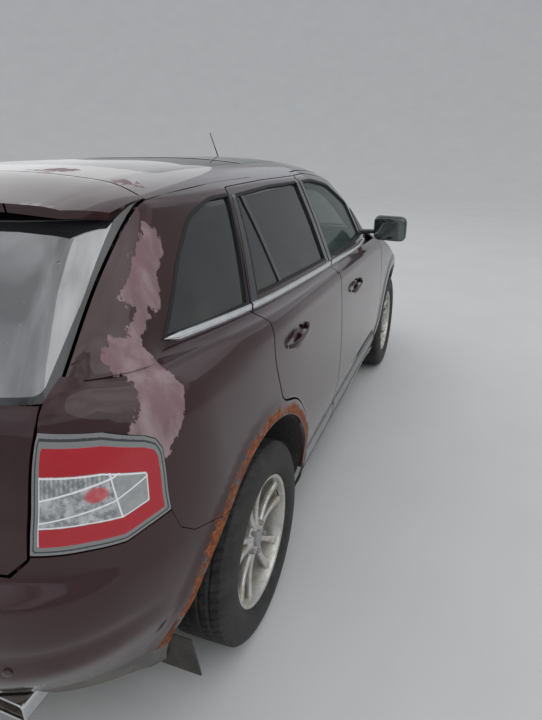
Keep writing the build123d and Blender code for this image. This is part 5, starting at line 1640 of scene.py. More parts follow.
@dataclass
class Glazing:
    """Every pane with its seals and dark borders; the rear pane's border widens under the spoiler
    into a band of painted shade.
    """

    form: BodyForm

    def side_panes(self) -> None:
        """The door and quarter panes, their rubber seals and the black trims on the pillars."""
        cabin = self.form.cabin
        rows = (
            ("door_glass_front", FRONT_GLASS, "door_front", "clear_glass"),
            ("door_glass_rear", REAR_GLASS, "door_rear", "tinted_glass"),
            ("quarter_glass", QUARTER_GLASS, "body", "tinted_glass"),
        )
        for name, outline, body, finish in rows:
            loop = densify(rounded(outline), 24)
            pane = Region(cabin, [cabin.side(grown(loop, -0.4))], step=40)
            Panel(f"{name}_pane", pane, body, finish, depth=8, wall=4.6, edge=0,
                  replaces=(name,)).build()
            seal = Region(cabin, [cabin.side(grown(loop, 1.5))], [cabin.side(grown(loop, -11))],
                          step=30)
            Panel(f"{name}_seal", seal, body, "rubber", depth=-1.2, wall=15, edge=1.5).build()
            border = Region(cabin, [cabin.side(grown(loop, -6))], [cabin.side(grown(loop, -22))],
                            step=30)
            Panel(f"{name}_border", border, body, "gloss_black", depth=13.2, wall=1.2,
                  edge=0).build()
        trims = (
            ("pillar_trim_front", ((-250, 1203), (-249, 1586), (-283, 1588), (-295, 1198)),
             "door_front", -1.6, 8.0),
            ("pillar_trim_rear", ((-308, 1198), (-304, 1588), (-342, 1590), (-349, 1206)),
             "door_rear", -1.6, 8.0),
            ("pillar_trim_back", ((-1052, 1586), (-1077, 1590), (-1242, 1240), (-1195, 1246)),
             "door_rear", -1.6, 8.0),
            ("window_divider", ((-981, 1596), (-1007, 1594), (-965, 1236), (-937, 1235)),
             "door_rear", 3.0, 16.0),
        )
        for name, outline, body, depth, wall in trims:
            strip = Region(cabin, [cabin.side(rounded([(x, z, 5) for x, z in outline]))], step=24)
            Panel(name, strip, body, "gloss_black", depth=depth, wall=wall, edge=1.5).build()

    def half(self, loop: Points, end: float) -> Points:
        """A loop whose points near the middle line are moved exactly onto it."""
        loop = loop.copy()
        loop[np.abs(loop[:, 0] - end) < 14, 0] = end
        return loop

    def windshield(self) -> None:
        """The windshield with its dark border."""
        cabin = self.form.cabin
        outline = np.array([(0, 1119), (741, 1119), (740, 1131), (600, 1622), (598, 1641),
                            (300, 1652), (0, 1652)])
        half = self.half(cabin.nose(outline), 0.0)
        Panel("windshield_pane", Region(cabin, [half], step=40), "body", "clear_glass", Side.CENTRE,
              depth=8, wall=5,
              edge=0, replaces=("windshield",)).build()
        inner = self.half(cabin.nose(np.array([(0, 1180), (690, 1180), (572, 1590), (0, 1612)])),
                          0.0)
        inner[inner[:, 0] < 1, 0] = -40
        Panel("windshield_border", Region(cabin, [half], [inner], step=40), "body", "gloss_black",
              Side.CENTRE,
              depth=13.4, wall=1.2, edge=0).build()
        cowl = np.array([(1376, 0), (1376, 736), (1270, 736), (1346, 300), (1346, 0)], float)
        Panel("cowl", Region(self.form.hood, [cowl], step=24), "body", "black", Side.CENTRE,
              depth=16, wall=6).build()

    def rear_screen(self) -> None:
        """The tailgate's pane and its wide dark border, deepest under the spoiler: that deep band
        is painted shade, black standing in for the spoiler's shadow on the glass.
        """
        cabin = self.form.cabin
        half = self.half(cabin.tail(rounded(SCREEN)), cabin.end)
        Panel("tailgate_pane", Region(cabin, [half], step=40), "tailgate", "rear_screen",
              Side.CENTRE, depth=4, wall=5,
              edge=0, replaces=("tailgate_glass",)).build()
        # Painted shade: the inner loop's top stays low, so the black border is deepest under the
        # spoiler, standing in for the spoiler's shadow on the glass; round the other edges it is
        # the pane's dark edge band.
        inner = rounded([(0, 1226, 1), (604, 1226, 24), (624, 1380, 300), (604, 1448, 55),
                         (0, 1432, 1)])
        inner = self.half(cabin.tail(inner), cabin.end)
        inner[inner[:, 0] > cabin.end - 1, 0] = cabin.end + 40
        Panel("tailgate_pane_border", Region(cabin, [half], [inner], step=40), "tailgate",
              "gloss_black", Side.CENTRE,
              depth=9.4, wall=1.2, edge=0).build()

    def roof_panes(self) -> None:
        """The two roof panes, the dark bridge between them and the headliner under them."""
        roof = self.form.roof
        for number, (low, high) in enumerate(ROOF_PANES, 1):
            pane = rounded([(low + 2, 0, 0.1), (high - 2, 0, 0.1), (high - 2, 539, 38),
                            (low + 2, 539, 38)])
            Panel(f"roof_pane_{number}", Region(roof, [pane], step=50), "body", "tinted_glass",
                  Side.CENTRE, depth=0.5,
                  wall=6, edge=0.8, replaces=("roof_glass",)).build()
        bridge = rounded([(-598, 0, 0.1), (-562, 0, 0.1), (-562, 541, 4), (-598, 541, 4)])
        Panel("roof_bridge", Region(roof, [bridge], step=30), "body", "gloss_black", Side.CENTRE,
              depth=-1, wall=4,
              edge=1).build()
        lining = np.array([(300, 0), (300, 540), (-320, 580), (-1500, 580), (-1500, 0)], float)
        holes = [rounded([(low + 30, -60, 1), (high - 30, -60, 1), (high - 30, 500, 40),
                          (low + 30, 500, 40)])
                 for low, high in ROOF_PANES]
        Panel("headliner", Region(roof, [lining], holes, step=40), "body", "headliner", Side.CENTRE,
              depth=34, wall=10,
              edge=4).build()

    def build(self) -> None:
        """Builds all the glass."""
        self.side_panes()
        self.windshield()
        self.rear_screen()
        self.roof_panes()


@dataclass
class TailLamps:
    """The tail lamps: a patterned lens in a dark housing."""

    form: BodyForm

    def outline(self) -> Points:
        """The lamp's loop: outer top, tip, lower middle, inner bottom and inner top."""
        lower = self.form.lower
        outer = lower.locate(0, *(np.array(LAMP_OUTER[::-1]) - (2.0, 1.0)).T)
        tip = lower.locate(0, [SEAM[-1][0] - 2.0], [SEAM[-1][1] + 4.0])
        under = lower.locate(0, *(np.array(LAMP_UNDER) + (0.0, 3.0)).T)
        inner = lower.locate(1, [651, 651], [872, 1139])
        return densify(np.vstack([outer, tip, under, inner]), 5)

    def coordinates(self, loop: Points) -> Callable[[Points], Points]:
        """A function from parameters to lens coordinates and distances from the whole rim and from
        all but the inner edge."""
        low, high = loop.min(0), loop.max(0)
        inner_side = loop[:, 0] > high[0] - 12

        def place(flat: Points) -> Points:
            """Columns u, v, rim distance and band distance in metres."""
            uv = (flat - low) / (high - low)
            gaps = np.linalg.norm(flat[:, None] - loop[None], axis=2)
            return np.column_stack([uv, gaps.min(1) * MM, gaps[:, ~inner_side].min(1) * MM])

        return place

    def build(self) -> None:
        """The lens pair, standing a little out from the body, and the box behind it."""
        loop = self.outline()
        place = self.coordinates(loop)
        region = Region(self.form.lower, [loop], step=6.5)
        Panel("tail_lens", region, "body", "lamp_red", depth=-1.5, wall=9, edge=2.5,
              replaces=("tail_lamps",),
              coordinates=place).build()
        back = Region(self.form.lower, [grown(loop, 2.0)], step=30)
        Panel("tail_lamp_box", back, "body", "rubber", depth=8, wall=40, edge=3).build()


@dataclass
class Handle:
    """A pull handle: a bar that bridges its cup, with a cap at the rear."""

    body: str
    x: float
    z: float
    reach: float = 112.0

    def build(self, surface: PlanSurface) -> None:
        """Builds the bar along the side, arched outwards, and its cap."""
        t = np.linspace(-1, 1, 25)
        arch = (4 + 26 * (1 - t**2) ** 0.5)[:, None]
        path = surface.trace(0, self.x - 8 + t * self.reach, self.z + 6 + 4 * t, arch)
        size = np.column_stack([np.clip(1.05 - np.abs(t) ** 6, 0.45, 1),
                                np.clip(1.0 - 0.35 * np.abs(t) ** 4, 0.4, 1)])
        Solid(f"{self.body}_handle", sweep(path, oval(13, 25), size), self.body, "paint").build()
        t = np.linspace(-1, 1, 9)
        path = surface.trace(0, self.x + self.reach + 4 + t * 20, self.z + 10.0, 6)
        size = np.sqrt(np.clip(1.02 - t**2, 0.05, 1))
        Solid(f"{self.body}_handle_cap", sweep(path, oval(16, 30), size), self.body,
              "paint").build()


@dataclass
class Trim:
    """Bright and black trim: belt strips, handles, mirrors, sills, wipers, aerial, exhaust end and
    sensors."""

    form: BodyForm

    def belt_strips(self) -> None:
        """The bright belt strip in three lengths per side, with a pointed tail on the quarter
        panel."""
        cabin = self.form.cabin
        section = np.array([(-5, -15), (4, -14), (7, -8), (7, -2), (4, 0), (7, 2), (7, 9), (3, 14),
                            (-5, 14)], float)
        rows = (("belt_front", "door_front", 650, -293), ("belt_rear", "door_rear", -312, -1252),
                ("belt_quarter", "body", -1264, -1700))
        for name, body, start, stop in rows:
            x = np.linspace(start, stop, 42)
            path = cabin.trace(0, x, belt(x, -13), 3.5)
            size = np.ones((len(x), 2))
            if name == "belt_quarter":
                taper = np.clip((x - stop) / 60, 0.08, 1)
                size = np.column_stack([taper**0.5, taper])
                path[:, 2] += 10 * (1 - taper)
            Solid(name, sweep(path, section, size), body, "chrome").build()

    def sills(self) -> None:
        """The silver strips low on the doors and the black sill under them."""
        lower = self.form.lower
        rows = (
            ("sill_cover", "body", 928, -872, 238, 331, "black", -7.0),
            ("sill_strip", "body", 926, -868, 268, 322, "silver_trim", -11.0),
            ("door_front_strip", "door_front", 866, -312, 350, 436, "silver_trim", -7.0),
            ("door_rear_strip", "door_rear", -338, -852, 350, 436, "silver_trim", -7.0),
        )
        for name, body, x0, x1, z0, z1, finish, depth in rows:
            loop = lower.side(densify(rounded_rectangle((x1, z0), (x0, z1), 14), 24))
            Panel(name, Region(lower, [loop], step=24, relief=sculpt), body, finish, depth=depth,
                  wall=9, edge=3).build()

    def mirrors(self) -> None:
        """The door mirrors: a tapered housing, its glass towards the rear and the arm on the
        door."""
        points, faces = rounded_box((655, 912, 1160), (800, 1128, 1325), 42)
        ahead = np.clip((points[:, 0] - 655) / 145, 0, 1)
        points[:, 1] = 1020 + (points[:, 1] - 1020) * (1 - 0.25 * ahead**2)
        drop = 8 * (points[:, 1] - 912) / 216
        points[:, 2] = 1245 + (points[:, 2] - 1245) * (1 - 0.30 * ahead**2) - drop
        Solid("mirror_housing", (points, faces), "door_front", "gloss_black").build()
        points, faces = rounded_box((650, 926, 1174), (657, 1114, 1310), 3.4)
        corner = np.clip(np.abs(points[:, 1] - 1020) / 94, 0, 1) ** 4
        drop = 8 * (points[:, 1] - 912) / 216
        points[:, 2] = 1244 + (points[:, 2] - 1244) * (1 - 0.14 * corner) - drop
        Solid("mirror_glass", (points, faces), "door_front", "mirror_glass").build()
        t = np.linspace(0, 1, 9)
        path = np.column_stack([716 - 8 * t, 806 + 120 * t, 1206 + 8 * t])
        Solid("mirror_arm", sweep(path, oval(70, 28), 1.15 - 0.3 * t), "door_front",
              "black").build()
        cabin = self.form.cabin
        sail = cabin.side(rounded([(640, 1196, 8), (818, 1188, 8), (700, 1336, 30),
                                   (640, 1368, 12)]))
        Panel("mirror_sail", Region(cabin, [sail], step=24), "door_front", "black", depth=-3,
              wall=10, edge=3).build()

    def aerial(self) -> None:
        """The roof aerial, raked to the rear from a low foot."""
        t = np.linspace(0, 1, 16)
        path = np.column_stack([300 - 118 * t, 0 * t, 1656 + 165 * t])
        Solid("aerial", sweep(path, oval(7, 7, 12, 1.0), 1.0 - 0.45 * t, up=(0, 1, 0)), "body",
              "rubber", Side.CENTRE).build()
        points, faces = rounded_box((262, -22, 1650), (332, 22, 1674), 11)
        points[:, 1] *= 1 - 0.5 * np.clip((points[:, 0] - 290) / 42, 0, 1)
        Solid("aerial_foot", (points, faces), "body", "black", Side.CENTRE).build()

    def exhaust_end(self) -> None:
        """The bright rectangular end of the exhaust, a sleeve round the tip."""
        outer = rounded_rectangle((-521, 255), (-395, 325), 16)
        inner = rounded_rectangle((-515, 261), (-401, 319), 12)
        count = len(outer)
        rows = ((-2090, outer), (-2190, outer), (-2193, (outer + inner) / 2), (-2190, inner),
                (-2090, inner))
        points = np.vstack([np.column_stack([np.full(count, x), loop]) for x, loop in rows])
        faces = grid_faces(len(rows), count, True, True)
        Solid("exhaust_sleeve", (points, faces), "body", "chrome", Side.CENTRE).build()

    def sensors(self) -> None:
        """Round parking sensors across the rear bumper."""
        lower = self.form.lower
        for name, y in (("inner", 250.0), ("outer", 600.0)):
            place = lower.locate(1, [y], [575.0])
            centre = lower.point(*place.T)[0]
            out = lower.outward(*place.T)[0]
            t = np.array([-6, 0, 1.0, 1.6, 1.8])
            path = centre + out * t[:, None]
            size = np.array([1, 1, 0.92, 0.6, 0.1])
            Solid(f"sensor_{name}", sweep(path, oval(26, 26, 24, 1.0), size), "body",
                  "paint").build()

    def wipers(self) -> None:
        """The windshield's two wipers and the tailgate's one."""
        cabin = self.form.cabin
        for name, y0, y1 in (("left", 560.0, 20.0), ("right", -60.0, -600.0)):
            t = np.linspace(0, 1, 20)
            y, z = y0 + (y1 - y0) * t, 1128 + 46 * np.sin(t * np.pi * 0.5)
            Solid(f"wiper_{name}", sweep(cabin.across(2, y, z, 9), oval(9, 14)), "body", "rubber",
                  Side.CENTRE).build()
        t = np.linspace(0, 1, 24)
        y, z = -20 + 330 * t, 1262 + 34 * np.sin(t * np.pi * 0.5)
        path = cabin.across(1, y, z, 10)
        Solid("tailgate_wiper", sweep(path, oval(9, 13), 1.0 - 0.35 * t), "tailgate", "rubber",
              Side.CENTRE).build()
        shape = rounded_box((-2118, -46, 1232), (-2078, 8, 1272), 14)
        Solid("tailgate_wiper_cap", shape, "tailgate", "black", Side.CENTRE).build()

    def plate_area(self) -> None:
        """The blank plate in its recess, the garnish over it, its lamps and the high brake lamp."""
        lower = self.form.lower
        end = lower.end
        plate = lower.tail(rounded([(0, 884, 1), (152, 884, 10), (152, 1018, 10), (0, 1018, 1)]))
        plate[plate[:, 0] > end - 8, 0] = end
        Panel("rear_plate", Region(lower, [plate], step=30), "tailgate", "plate_white", Side.CENTRE,
              depth=14, wall=3,
              edge=1).build()
        y = np.linspace(-300, 300, 41)
        path = lower.across(1, y, 1044.0, 6)
        size = np.clip(1.02 - (np.abs(y) / 300) ** 8, 0.3, 1)
        section = np.array([(-10, -14), (8, -16), (14, -10), (12, 4), (4, 14), (-10, 16)], float)
        Solid("tailgate_garnish", sweep(path, section, size), "tailgate", "paint",
              Side.CENTRE).build()
        for side in (-1, 1):
            shape = rounded_box((-2228, side * 90 - 22, 1018), (-2206, side * 90 + 22, 1030), 5)
            name = f"plate_lamp_{'left' if side > 0 else 'right'}"
            Solid(name, shape, "tailgate", "lamp_clear", Side.CENTRE).build()
        y = np.linspace(-190, 190, 31)
        x = -1838 + 10 * (np.abs(y) / 340) ** 2
        path = np.column_stack([x, y, np.full(31, 1586.0)])
        Solid("high_brake_lamp", sweep(path, oval(20, 16)), "tailgate", "bright_red",
              Side.CENTRE).build()

    def build(self) -> None:
        """Builds all the trim."""
        self.belt_strips()
        self.sills()
        Handle("door_front", FRONT_CUP.x, FRONT_CUP.z).build(self.form.lower)
        Handle("door_rear", REAR_CUP.x, REAR_CUP.z).build(self.form.lower)
        self.mirrors()
        self.aerial()
        self.exhaust_end()
        self.sensors()
        self.wipers()
        self.plate_area()


TYRE_SEGMENTS, TREAD_BLOCKS = 540, 68
SPOKE_PAIRS, LUG_CIRCLE = 5, 57.15


@dataclass
class Wheel:
    """One axle's wheels: a treaded tyre on an alloy rim with ten spokes in pairs."""

    end: str
    axle: float

    def tyre(self) -> None:
        """The tyre: its section is turned about the axle, then grooves and sidewall ridges move the
        radius."""
        half = [(100, 240), (103, 247), (110, 256), (117, 272), (119.5, 290), (119.5, 308),
                (117.5, 328), (113.5, 345),
                (108, 357), (101, 366), (94, 371.5)]
        across = np.linspace(92, -92, 47)
        crown = np.column_stack([across, TYRE_R - 2.6 * (across / 94) ** 2])
        profile = np.vstack([half, crown, [(-y, r) for y, r in reversed(half)]])
        segments = TYRE_SEGMENTS
        turn = np.linspace(0, 2 * np.pi, segments, endpoint=False)[:, None]
        y, radius = profile[None, :, 0], np.broadcast_to(profile[None, :, 1],
                                                         (segments, len(profile))).copy()
        tread = np.abs(y) < 93
        grooves = np.zeros_like(radius)
        for centre in (-56.0, -19.0, 19.0, 56.0):
            grooves = np.maximum(grooves, np.clip(1.6 - np.abs(y - centre) / 4.0, 0, 1) * tread)
        phase = (turn / (2 * np.pi) * TREAD_BLOCKS + y * 0.012 * np.sign(y)) % 1.0
        sipes = (np.abs(phase - 0.5) < 0.10) * (np.abs(y) < 104)
        radius -= np.maximum(grooves * 6.5, sipes * 3.5 * (np.abs(y) > 22))
        ridge = np.exp(-(((radius - 352) / 3.0) ** 2)) * (np.abs(y) > 105)
        wall = 1.6 * ridge + 1.0 * np.exp(-(((radius - 262) / 2.5) ** 2)) * (np.abs(y) > 105)
        x = self.axle + np.cos(turn) * radius
        z = HUB_Z + np.sin(turn) * radius
        yy = HUB_Y + np.broadcast_to(y, radius.shape) + np.sign(y) * wall * 0.5
        faces = grid_faces(segments, len(profile), True, True)
        shape = (np.stack([x, yy, z], axis=-1).reshape(-1, 3), faces.tolist())
        Solid(f"tyre_{self.end}_tread", shape, f"wheel_{self.end}", "tyre",
              replaces=(f"tyre_{self.end}",)).build()

    def spoke(self, angle: float) -> tuple[Points, list]:
        """One spoke from the hub to the rim, waisted and dished."""
        t = np.linspace(0, 1, 14)
        r = 46 + 184 * t
        face = 905 + 10 * t**2 - 9 * np.sin(t * np.pi)
        deep = 34 - 12 * t
        path = np.column_stack([self.axle + r * np.cos(angle), face - deep / 2,
                                HUB_Z + r * np.sin(angle)])
        size = np.column_stack([deep / 34, 1.0 - 0.25 * np.sin(t * np.pi) + 0.25 * t**6])
        section = oval(34, 27, 16, 0.6)
        return sweep(path, section, size, up=(-np.sin(angle), 0, np.cos(angle)))

    def rim(self) -> None:
        """The rim: barrel and lips, ten spokes in five pairs, hub, five lugs, cap, valve and the
        brake disc."""
        centre = (self.axle, HUB_Z)
        barrel = np.array([(-102, 229), (-104, 246), (-97, 247), (-92, 240), (-80, 237.6),
                           (60, 237.6), (90, 239), (96, 247),
                           (102.5, 246.5), (103.5, 240), (100, 233), (88, 229), (70, 226),
                           (40, 222), (-60, 224), (-90, 227)], float)
        barrel[:, 0] += HUB_Y
        hub = np.array([(866, 32), (866, 66), (872, 72), (892, 71), (903, 60), (905, 44), (902, 34),
                        (902, 31)], float)
        parts = [lathe(barrel, centre, 120), lathe(hub, centre, 72)]
        for pair in range(SPOKE_PAIRS):
            middle = math.pi / 2 + pair * 2 * math.pi / 5
            for side in (-1, 1):
                parts.append(self.spoke(middle + side * math.radians(13)))
        Solid(f"rim_{self.end}_alloy", joined(parts), f"wheel_{self.end}", "rim_alloy",
              replaces=(f"rim_{self.end}",)).build()
        cap = np.array([(898, 0.5), (898, 30), (908, 30), (912, 27), (914, 18), (914.8, 0.5)],
                       float)
        small = [lathe(cap, centre, 48)]
        for lug in range(SPOKE_PAIRS):
            angle = math.pi / 2 + (lug + 0.5) * 2 * math.pi / 5
            place = (self.axle + LUG_CIRCLE * math.cos(angle), HUB_Z + LUG_CIRCLE * math.sin(angle))
            nut = np.array([(898, 0.4), (898, 12), (903, 12), (904, 10), (914, 9.5), (917, 6),
                            (917.5, 0.4)], float)
            small.append(lathe(nut, place, 12))
        Solid(f"lugs_{self.end}", joined(small), f"wheel_{self.end}", "silver_trim").build()
        disc = np.array([(778, 34), (778, 160), (786, 160), (788, 150), (796, 150), (798, 160),
                         (804, 160), (804, 92),
                         (806, 88), (862, 84), (862, 34)], float)
        Solid(f"disc_{self.end}", lathe(disc, centre, 96), f"wheel_{self.end}",
              "disc_steel").build()
        t = np.linspace(0, 1, 6)
        angle = math.radians(18)
        out = 224 - 22 * t
        path = np.column_stack([self.axle + out * math.cos(angle), 905 + 14 * t,
                                HUB_Z + out * math.sin(angle)])
        Solid(f"valve_{self.end}", sweep(path, oval(6, 6, 10, 1.0), 1 - 0.2 * t),
              f"wheel_{self.end}", "rubber").build()

    def build(self) -> None:
        """Builds the tyres and rims of the axle."""
        self.tyre()
        self.rim()


@dataclass
class FrontEnd:
    """The grille, the lower intake and the headlamps."""

    form: BodyForm
    shell: BodyShell

    def bar(self, name: str, z: float, half: float, depth: float, section: Points,
            finish: str) -> None:
        """A bar that follows the nose from side to side."""
        path = self.form.front.across(2, np.linspace(-half, half, 49), z, -depth)
        Solid(name, sweep(path, section), "body", finish, Side.CENTRE).build()

    def grille(self) -> None:
        """Horizontal grille bars with a bright frame before a black mesh, and the intake's bars
        under them."""
        front = self.form.front
        for row in range(5):
            self.bar(f"grille_bar_{row + 1}", 602 + row * 62.0, 468, 12, oval(26, 20),
                     "silver_trim")
        for name, z, half in (("top", 878.0, 474), ("bottom", 566.0, 464)):
            self.bar(f"grille_frame_{name}", z, half, 6, oval(18, 16), "chrome")
        for row in range(2):
            self.bar(f"intake_bar_{row + 1}", 380 + row * 34.0, 500, 18, oval(18, 9), "black")
        for name, low, high, half_y in (("grille_mesh", 566, 880, 474),
                                        ("intake_mesh", 358, 442, 508)):
            loop = front.nose(rounded([(0, low, 1), (half_y, low + 6, 20), (half_y, high - 4, 20),
                                       (0, high, 1)]))
            loop[loop[:, 0] < 8, 0] = 0
            Panel(name, Region(front, [loop], step=30), "body", "black", Side.CENTRE, depth=34,
                  wall=8,
                  replaces=("grille",) if name == "grille_mesh" else ()).build()
        plate = front.nose(rounded([(0, 470, 1), (152, 470, 8), (152, 548, 8), (0, 548, 1)]))
        plate[plate[:, 0] < 8, 0] = 0
        Panel("front_plate", Region(front, [plate], step=30), "body", "plate_white", Side.CENTRE,
              depth=-6, wall=4,
              edge=1).build()

    def headlamps(self) -> None:
        """Each headlamp: a clear cover over two round reflectors and an amber corner."""
        loop = self.shell.headlamp_loop(-0.5)
        front = self.form.front
        loop = densify(loop, 18)
        Panel("headlamp_cover", Region(front, [loop], step=26), "body", "lamp_clear", depth=0,
              wall=4, edge=1,
              replaces=("headlamps",)).build()
        Panel("headlamp_box", Region(front, [grown(loop, 3)], step=40), "body", "black", depth=58,
              wall=4, edge=1).build()
        for name, y, radius in (("main", 610.0, 46.0), ("dipped", 728.0, 46.0)):
            place = front.locate(2, [y], [832.0])
            centre = front.point(*place.T)[0] - np.array([10, 0, 0])
            bowl = np.array([(0, radius), (-4, radius + 3), (-40, radius * 0.5), (-46, 1), (-42, 1),
                             (-36, radius * 0.42), (-3, radius - 3)])
            points, faces = lathe(bowl, (0, 0), 48)
            points = np.column_stack([points[:, 1], points[:, 0], points[:, 2]]) + centre
            Solid(f"headlamp_{name}", (points, faces), "body", "reflector").build()
        place = front.locate(0, [1985.0], [835.0])
        centre = front.point(*place.T)[0] - front.outward(*place.T)[0] * 30
        Solid("corner_lamp", rounded_box(centre - (40, 12, 34), centre + (40, 12, 34), 10), "body",
              "amber").build()

    def build(self) -> None:
        """Builds the front end."""
        self.grille()
        self.headlamps()


@dataclass
class Cabin:
    """What shows through the windows: seats, instruments and door armrests."""

    def seat(self, name: str, low: tuple, high: tuple, radius: float, side: Side, lean: float = 0.0,
             bulge: float = 14.0) -> None:
        """A padded block, swollen in the middle of its faces and sheared to the rear by the
        lean."""
        points, faces = rounded_box(low, high, radius, 9)
        centre, half = (np.array(low) + high) / 2, (np.array(high) - low) / 2
        local = np.clip((points - centre) / half, -1, 1)
        swell = (1 - local[:, 0] ** 2) * (1 - local[:, 1] ** 2) * (1 - local[:, 2] ** 4)
        thin = int(np.argmin(half))
        rest = np.prod(np.delete(local, thin, 1) ** 2, axis=1)
        shell = np.sign(local[:, thin]) * (1 - rest) * bulge * 0.5
        points[:, thin] += shell - 3 * np.sin(local[:, 1] * 9) * swell
        points[:, 0] -= lean * (points[:, 2] - low[2])
        for piece in Solid(name, (points, faces), "body", "seat_fabric", side).build():
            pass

    def seats(self) -> None:
        """Two front seats and the rear bench."""
        self.seat("front_seat_cushion", (-120, 168, 470), (425, 662, 612), 48, Side.PAIR)
        self.seat("front_seat_back", (-190, 172, 590), (-80, 658, 1190), 50, Side.PAIR)
        self.seat("front_headrest", (-218, 308, 1248), (-142, 522, 1412), 34, Side.PAIR, bulge=8)
        self.seat("rear_cushion", (-905, -632, 480), (-440, 632, 632), 50, Side.CENTRE)
        self.seat("rear_back", (-1118, -632, 640), (-1008, 632, 1222), 50, Side.CENTRE)
        for side in (-1, 1):
            points, faces = rounded_box((-150, 150, 360), (440, 680, 520), 30)
            points[:, 1] *= side
            name = f"front_seat_base_{'left' if side > 0 else 'right'}"
            Solid(name, (points, faces), "body", "trim", Side.CENTRE).build()
        for piece, node in (("front_seat_cushion_left", "front_seats"),
                            ("rear_cushion", "rear_bench")):
            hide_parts(node)
        posts = []
        for y in (365, 465):
            path = np.column_stack([np.full(6, -180.0), np.full(6, float(y)),
                                    np.linspace(1170, 1262, 6)])
            posts.append(sweep(path, oval(11, 11, 12, 1.0), up=(1, 0, 0)))
        Solid("headrest_posts", joined(posts), "body", "chrome").build()

    def instruments(self) -> None:
        """The instrument hood, screen and vents on the dashboard, and the gear lever."""
        points, faces = rounded_box((552, 250, 1000), (640, 490, 1075), 26)
        points[:, 2] -= 20 * ((points[:, 1] - 370) / 120) ** 2
        Solid("instrument_hood", (points, faces), "body", "dash", Side.CENTRE).build()
        Solid("centre_screen", rounded_box((548, -105, 900), (566, 105, 1010), 8), "body",
              "gloss_black", Side.CENTRE).build()
        vents = []
        for y in (-600, -170, 170, 600):
            for row in range(4):
                vents.append(rounded_box((546, y - 55, 945 + row * 14),
                                         (564, y + 55, 951 + row * 14), 2.5))
        Solid("air_vents", joined(vents), "body", "black", Side.CENTRE).build()
        t = np.linspace(0, 1, 10)
        path = np.column_stack([430 - 30 * t, 0 * t, 715 + 120 * t])
        Solid("gear_lever", sweep(path, oval(24, 24, 16, 1.0), 0.7 + 0.9 * t**3, up=(0, 1, 0)),
              "body", "dash", Side.CENTRE).build()
        for end, x0, x1 in (("front", -80, 420), ("rear", -780, -400)):
            points, faces = rounded_box((x0, 790, 690), (x1, 842, 745), 20)
            points[:, 1] -= 14 * np.cos((points[:, 0] - x0) / (x1 - x0) * np.pi - np.pi / 2)
            Solid(f"armrest_{end}", (points, faces), f"door_{end}", "dash").build()

    def build(self) -> None:
        """Builds the cabin's pieces."""
        self.seats()
        self.instruments()


@dataclass
class Underside:
    """The finishes of the CAD nodes that stay in view."""

    finishes: dict = field(default_factory=lambda: {
        "floor_pan": "floor_coat", "arch_liners": "liner_felt", "front_frame": "chassis",
        "rear_frame": "chassis",
        "engine_block": "cast", "fuel_tank": "tank_plastic", "exhaust_system": "steel_tube",
        "dashboard": "dash",
        "knuckle_left": "iron", "knuckle_right": "iron",
    })

    def build(self) -> None:
        """Dresses the named CAD nodes; the others are hidden behind the pieces that replace
        them."""
        for name, node in frame["nodes"].items():
            if name in self.finishes:
                node.data.materials.clear()
                node.data.materials.append(paintbox.made[self.finishes[name]])


FLOOR_HALF, FLOOR_FLAT, FLOOR_TICKS = 30, 16, 61
SENSOR_HEIGHT = 36.0


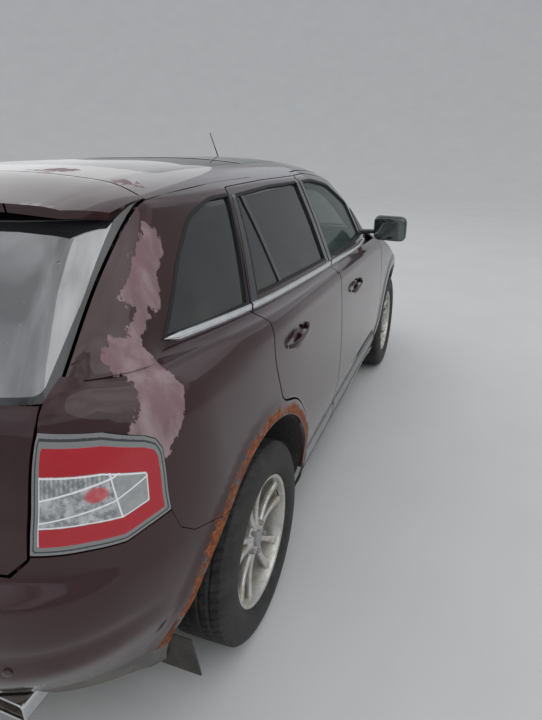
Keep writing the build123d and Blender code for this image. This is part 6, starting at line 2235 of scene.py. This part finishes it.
@dataclass
class Stage:
    """The pale floor, the soft light and the camera at the photo's place."""

    camera_place: tuple = (-2.8633, -1.5165, 1.7479)
    yaw: float = 0.36006
    pitch: float = 0.38761
    roll: float = -0.01061
    focal: float = 525.26
    size: tuple = (542, 720)

    def camera(self) -> None:
        """The camera: heading from +X, pitch down and roll as the photo's lines give them."""
        data = bpy.data.cameras.new("camera")
        data.sensor_fit = "VERTICAL"
        data.sensor_height = SENSOR_HEIGHT
        data.lens = self.focal / self.size[1] * SENSOR_HEIGHT
        data.clip_start = 0.02
        camera = bpy.data.objects.new("camera", data)
        cy, sy = math.cos(self.yaw), math.sin(self.yaw)
        cp, sp = math.cos(self.pitch), math.sin(self.pitch)
        ahead = np.array([cy * cp, sy * cp, -sp])
        right = np.array([sy, -cy, 0.0])
        up = np.cross(right, ahead)
        cr, sr = math.cos(self.roll), math.sin(self.roll)
        across, rise = cr * right + sr * up, -sr * right + cr * up
        rows = np.column_stack([across, rise, -ahead])
        pose = [[*rows[i], self.camera_place[i]] for i in range(3)]
        camera.matrix_world = Matrix([*pose, [0, 0, 0, 1]])
        bpy.context.scene.collection.objects.link(camera)
        bpy.context.scene.camera = camera

    def floor(self) -> None:
        """A large pale floor that curves up far away."""
        ticks = np.linspace(-FLOOR_HALF, FLOOR_HALF, FLOOR_TICKS)
        x, y = np.meshgrid(ticks, ticks, indexing="ij")
        far = np.maximum(np.hypot(x, y) - FLOOR_FLAT, 0)
        points = np.column_stack([x.ravel(), y.ravel(), (0.045 * far**2).ravel() - 0.001])
        faces = grid_faces(FLOOR_TICKS, FLOOR_TICKS)[:, OTHER_WAY]
        mesh = bpy.data.meshes.new("floor")
        mesh.from_pydata(points.tolist(), [], faces.tolist())
        mesh.polygons.foreach_set("use_smooth", np.ones(len(mesh.polygons), bool))
        floor = bpy.data.objects.new("floor", mesh)
        bpy.context.scene.collection.objects.link(floor)
        graph = Graph("stage_floor")
        tone = graph.mix(graph.noise(1.5, 6.0), (0.60, 0.60, 0.595), (0.68, 0.68, 0.67))
        graph.set(Base_Color=tone, Roughness=0.85)
        mesh.materials.append(graph.material)

    def light(self) -> None:
        """A cloudy sky that is brighter overhead, and two large soft lamps."""
        world = bpy.data.worlds.new("sky")
        bpy.context.scene.world = world
        world.use_nodes = True
        tree = world.node_tree
        place = tree.nodes.new("ShaderNodeTexCoord")
        split = tree.nodes.new("ShaderNodeSeparateXYZ")
        ramp = tree.nodes.new("ShaderNodeValToRGB")
        stops = ((0.0, (0.20, 0.20, 0.20, 1)), (0.50, (0.42, 0.43, 0.44, 1)),
                 (0.58, (0.62, 0.65, 0.70, 1)),
                 (1.0, (0.95, 0.97, 1.0, 1)))
        while len(ramp.color_ramp.elements) < len(stops):
            ramp.color_ramp.elements.new(0.5)
        for element, (position, colour) in zip(ramp.color_ramp.elements, stops):
            element.position = position
            element.color = colour
        half = tree.nodes.new("ShaderNodeMapRange")
        half.inputs[1].default_value = -1.0
        tree.links.new(place.outputs["Generated"], split.inputs[0])
        tree.links.new(split.outputs[2], half.inputs[0])
        tree.links.new(half.outputs[0], ramp.inputs[0])
        tree.links.new(ramp.outputs[0], tree.nodes["Background"].inputs[0])
        clouds = tree.nodes.new("ShaderNodeTexNoise")
        clouds.inputs["Scale"].default_value = 2.6
        clouds.inputs["Detail"].default_value = 5.0
        tree.links.new(place.outputs["Generated"], clouds.inputs["Vector"])
        cover = tree.nodes.new("ShaderNodeMapRange")
        cover.inputs[1].default_value, cover.inputs[2].default_value = 0.38, 0.62
        cover.inputs[3].default_value, cover.inputs[4].default_value = 0.50, 1.05
        tree.links.new(clouds.outputs[0], cover.inputs[0])
        tree.links.new(cover.outputs[0], tree.nodes["Background"].inputs[1])
        rows = (("key", (-3.5, -6.0, 7.5), 13.0, 260.0), ("fill", (5.0, 6.5, 6.5), 12.0, 180.0))
        for name, place, size, power in rows:
            data = bpy.data.lights.new(name, "AREA")
            data.shape = "DISK"
            data.size = size
            data.energy = power
            lamp = bpy.data.objects.new(name, data)
            lamp.location = place
            lamp.visible_camera = False
            aim = Vector((0, 0, 0.6)) - Vector(place)
            lamp.rotation_euler = aim.to_track_quat("-Z", "Y").to_euler()
            bpy.context.scene.collection.objects.link(lamp)

    def build(self) -> None:
        """Sets the view transform and builds the stage."""
        bpy.context.scene.view_settings.view_transform = "Standard"
        self.camera()
        self.floor()
        self.light()


paintbox: Paintbox


def main() -> None:
    """Builds the car's looks and the stage."""
    global paintbox
    logging.basicConfig(level=logging.INFO)
    paintbox = Paintbox()
    form = BodyForm()
    shell = BodyShell(form)
    shell.build()
    Glazing(form).build()
    TailLamps(form).build()
    Trim(form).build()
    Wheel("front", FRONT_AXLE).build()
    Wheel("rear", REAR_AXLE).build()
    FrontEnd(form, shell).build()
    Cabin().build()
    Underside().build()
    Stage().build()


if __name__ == "__main__":
    main()
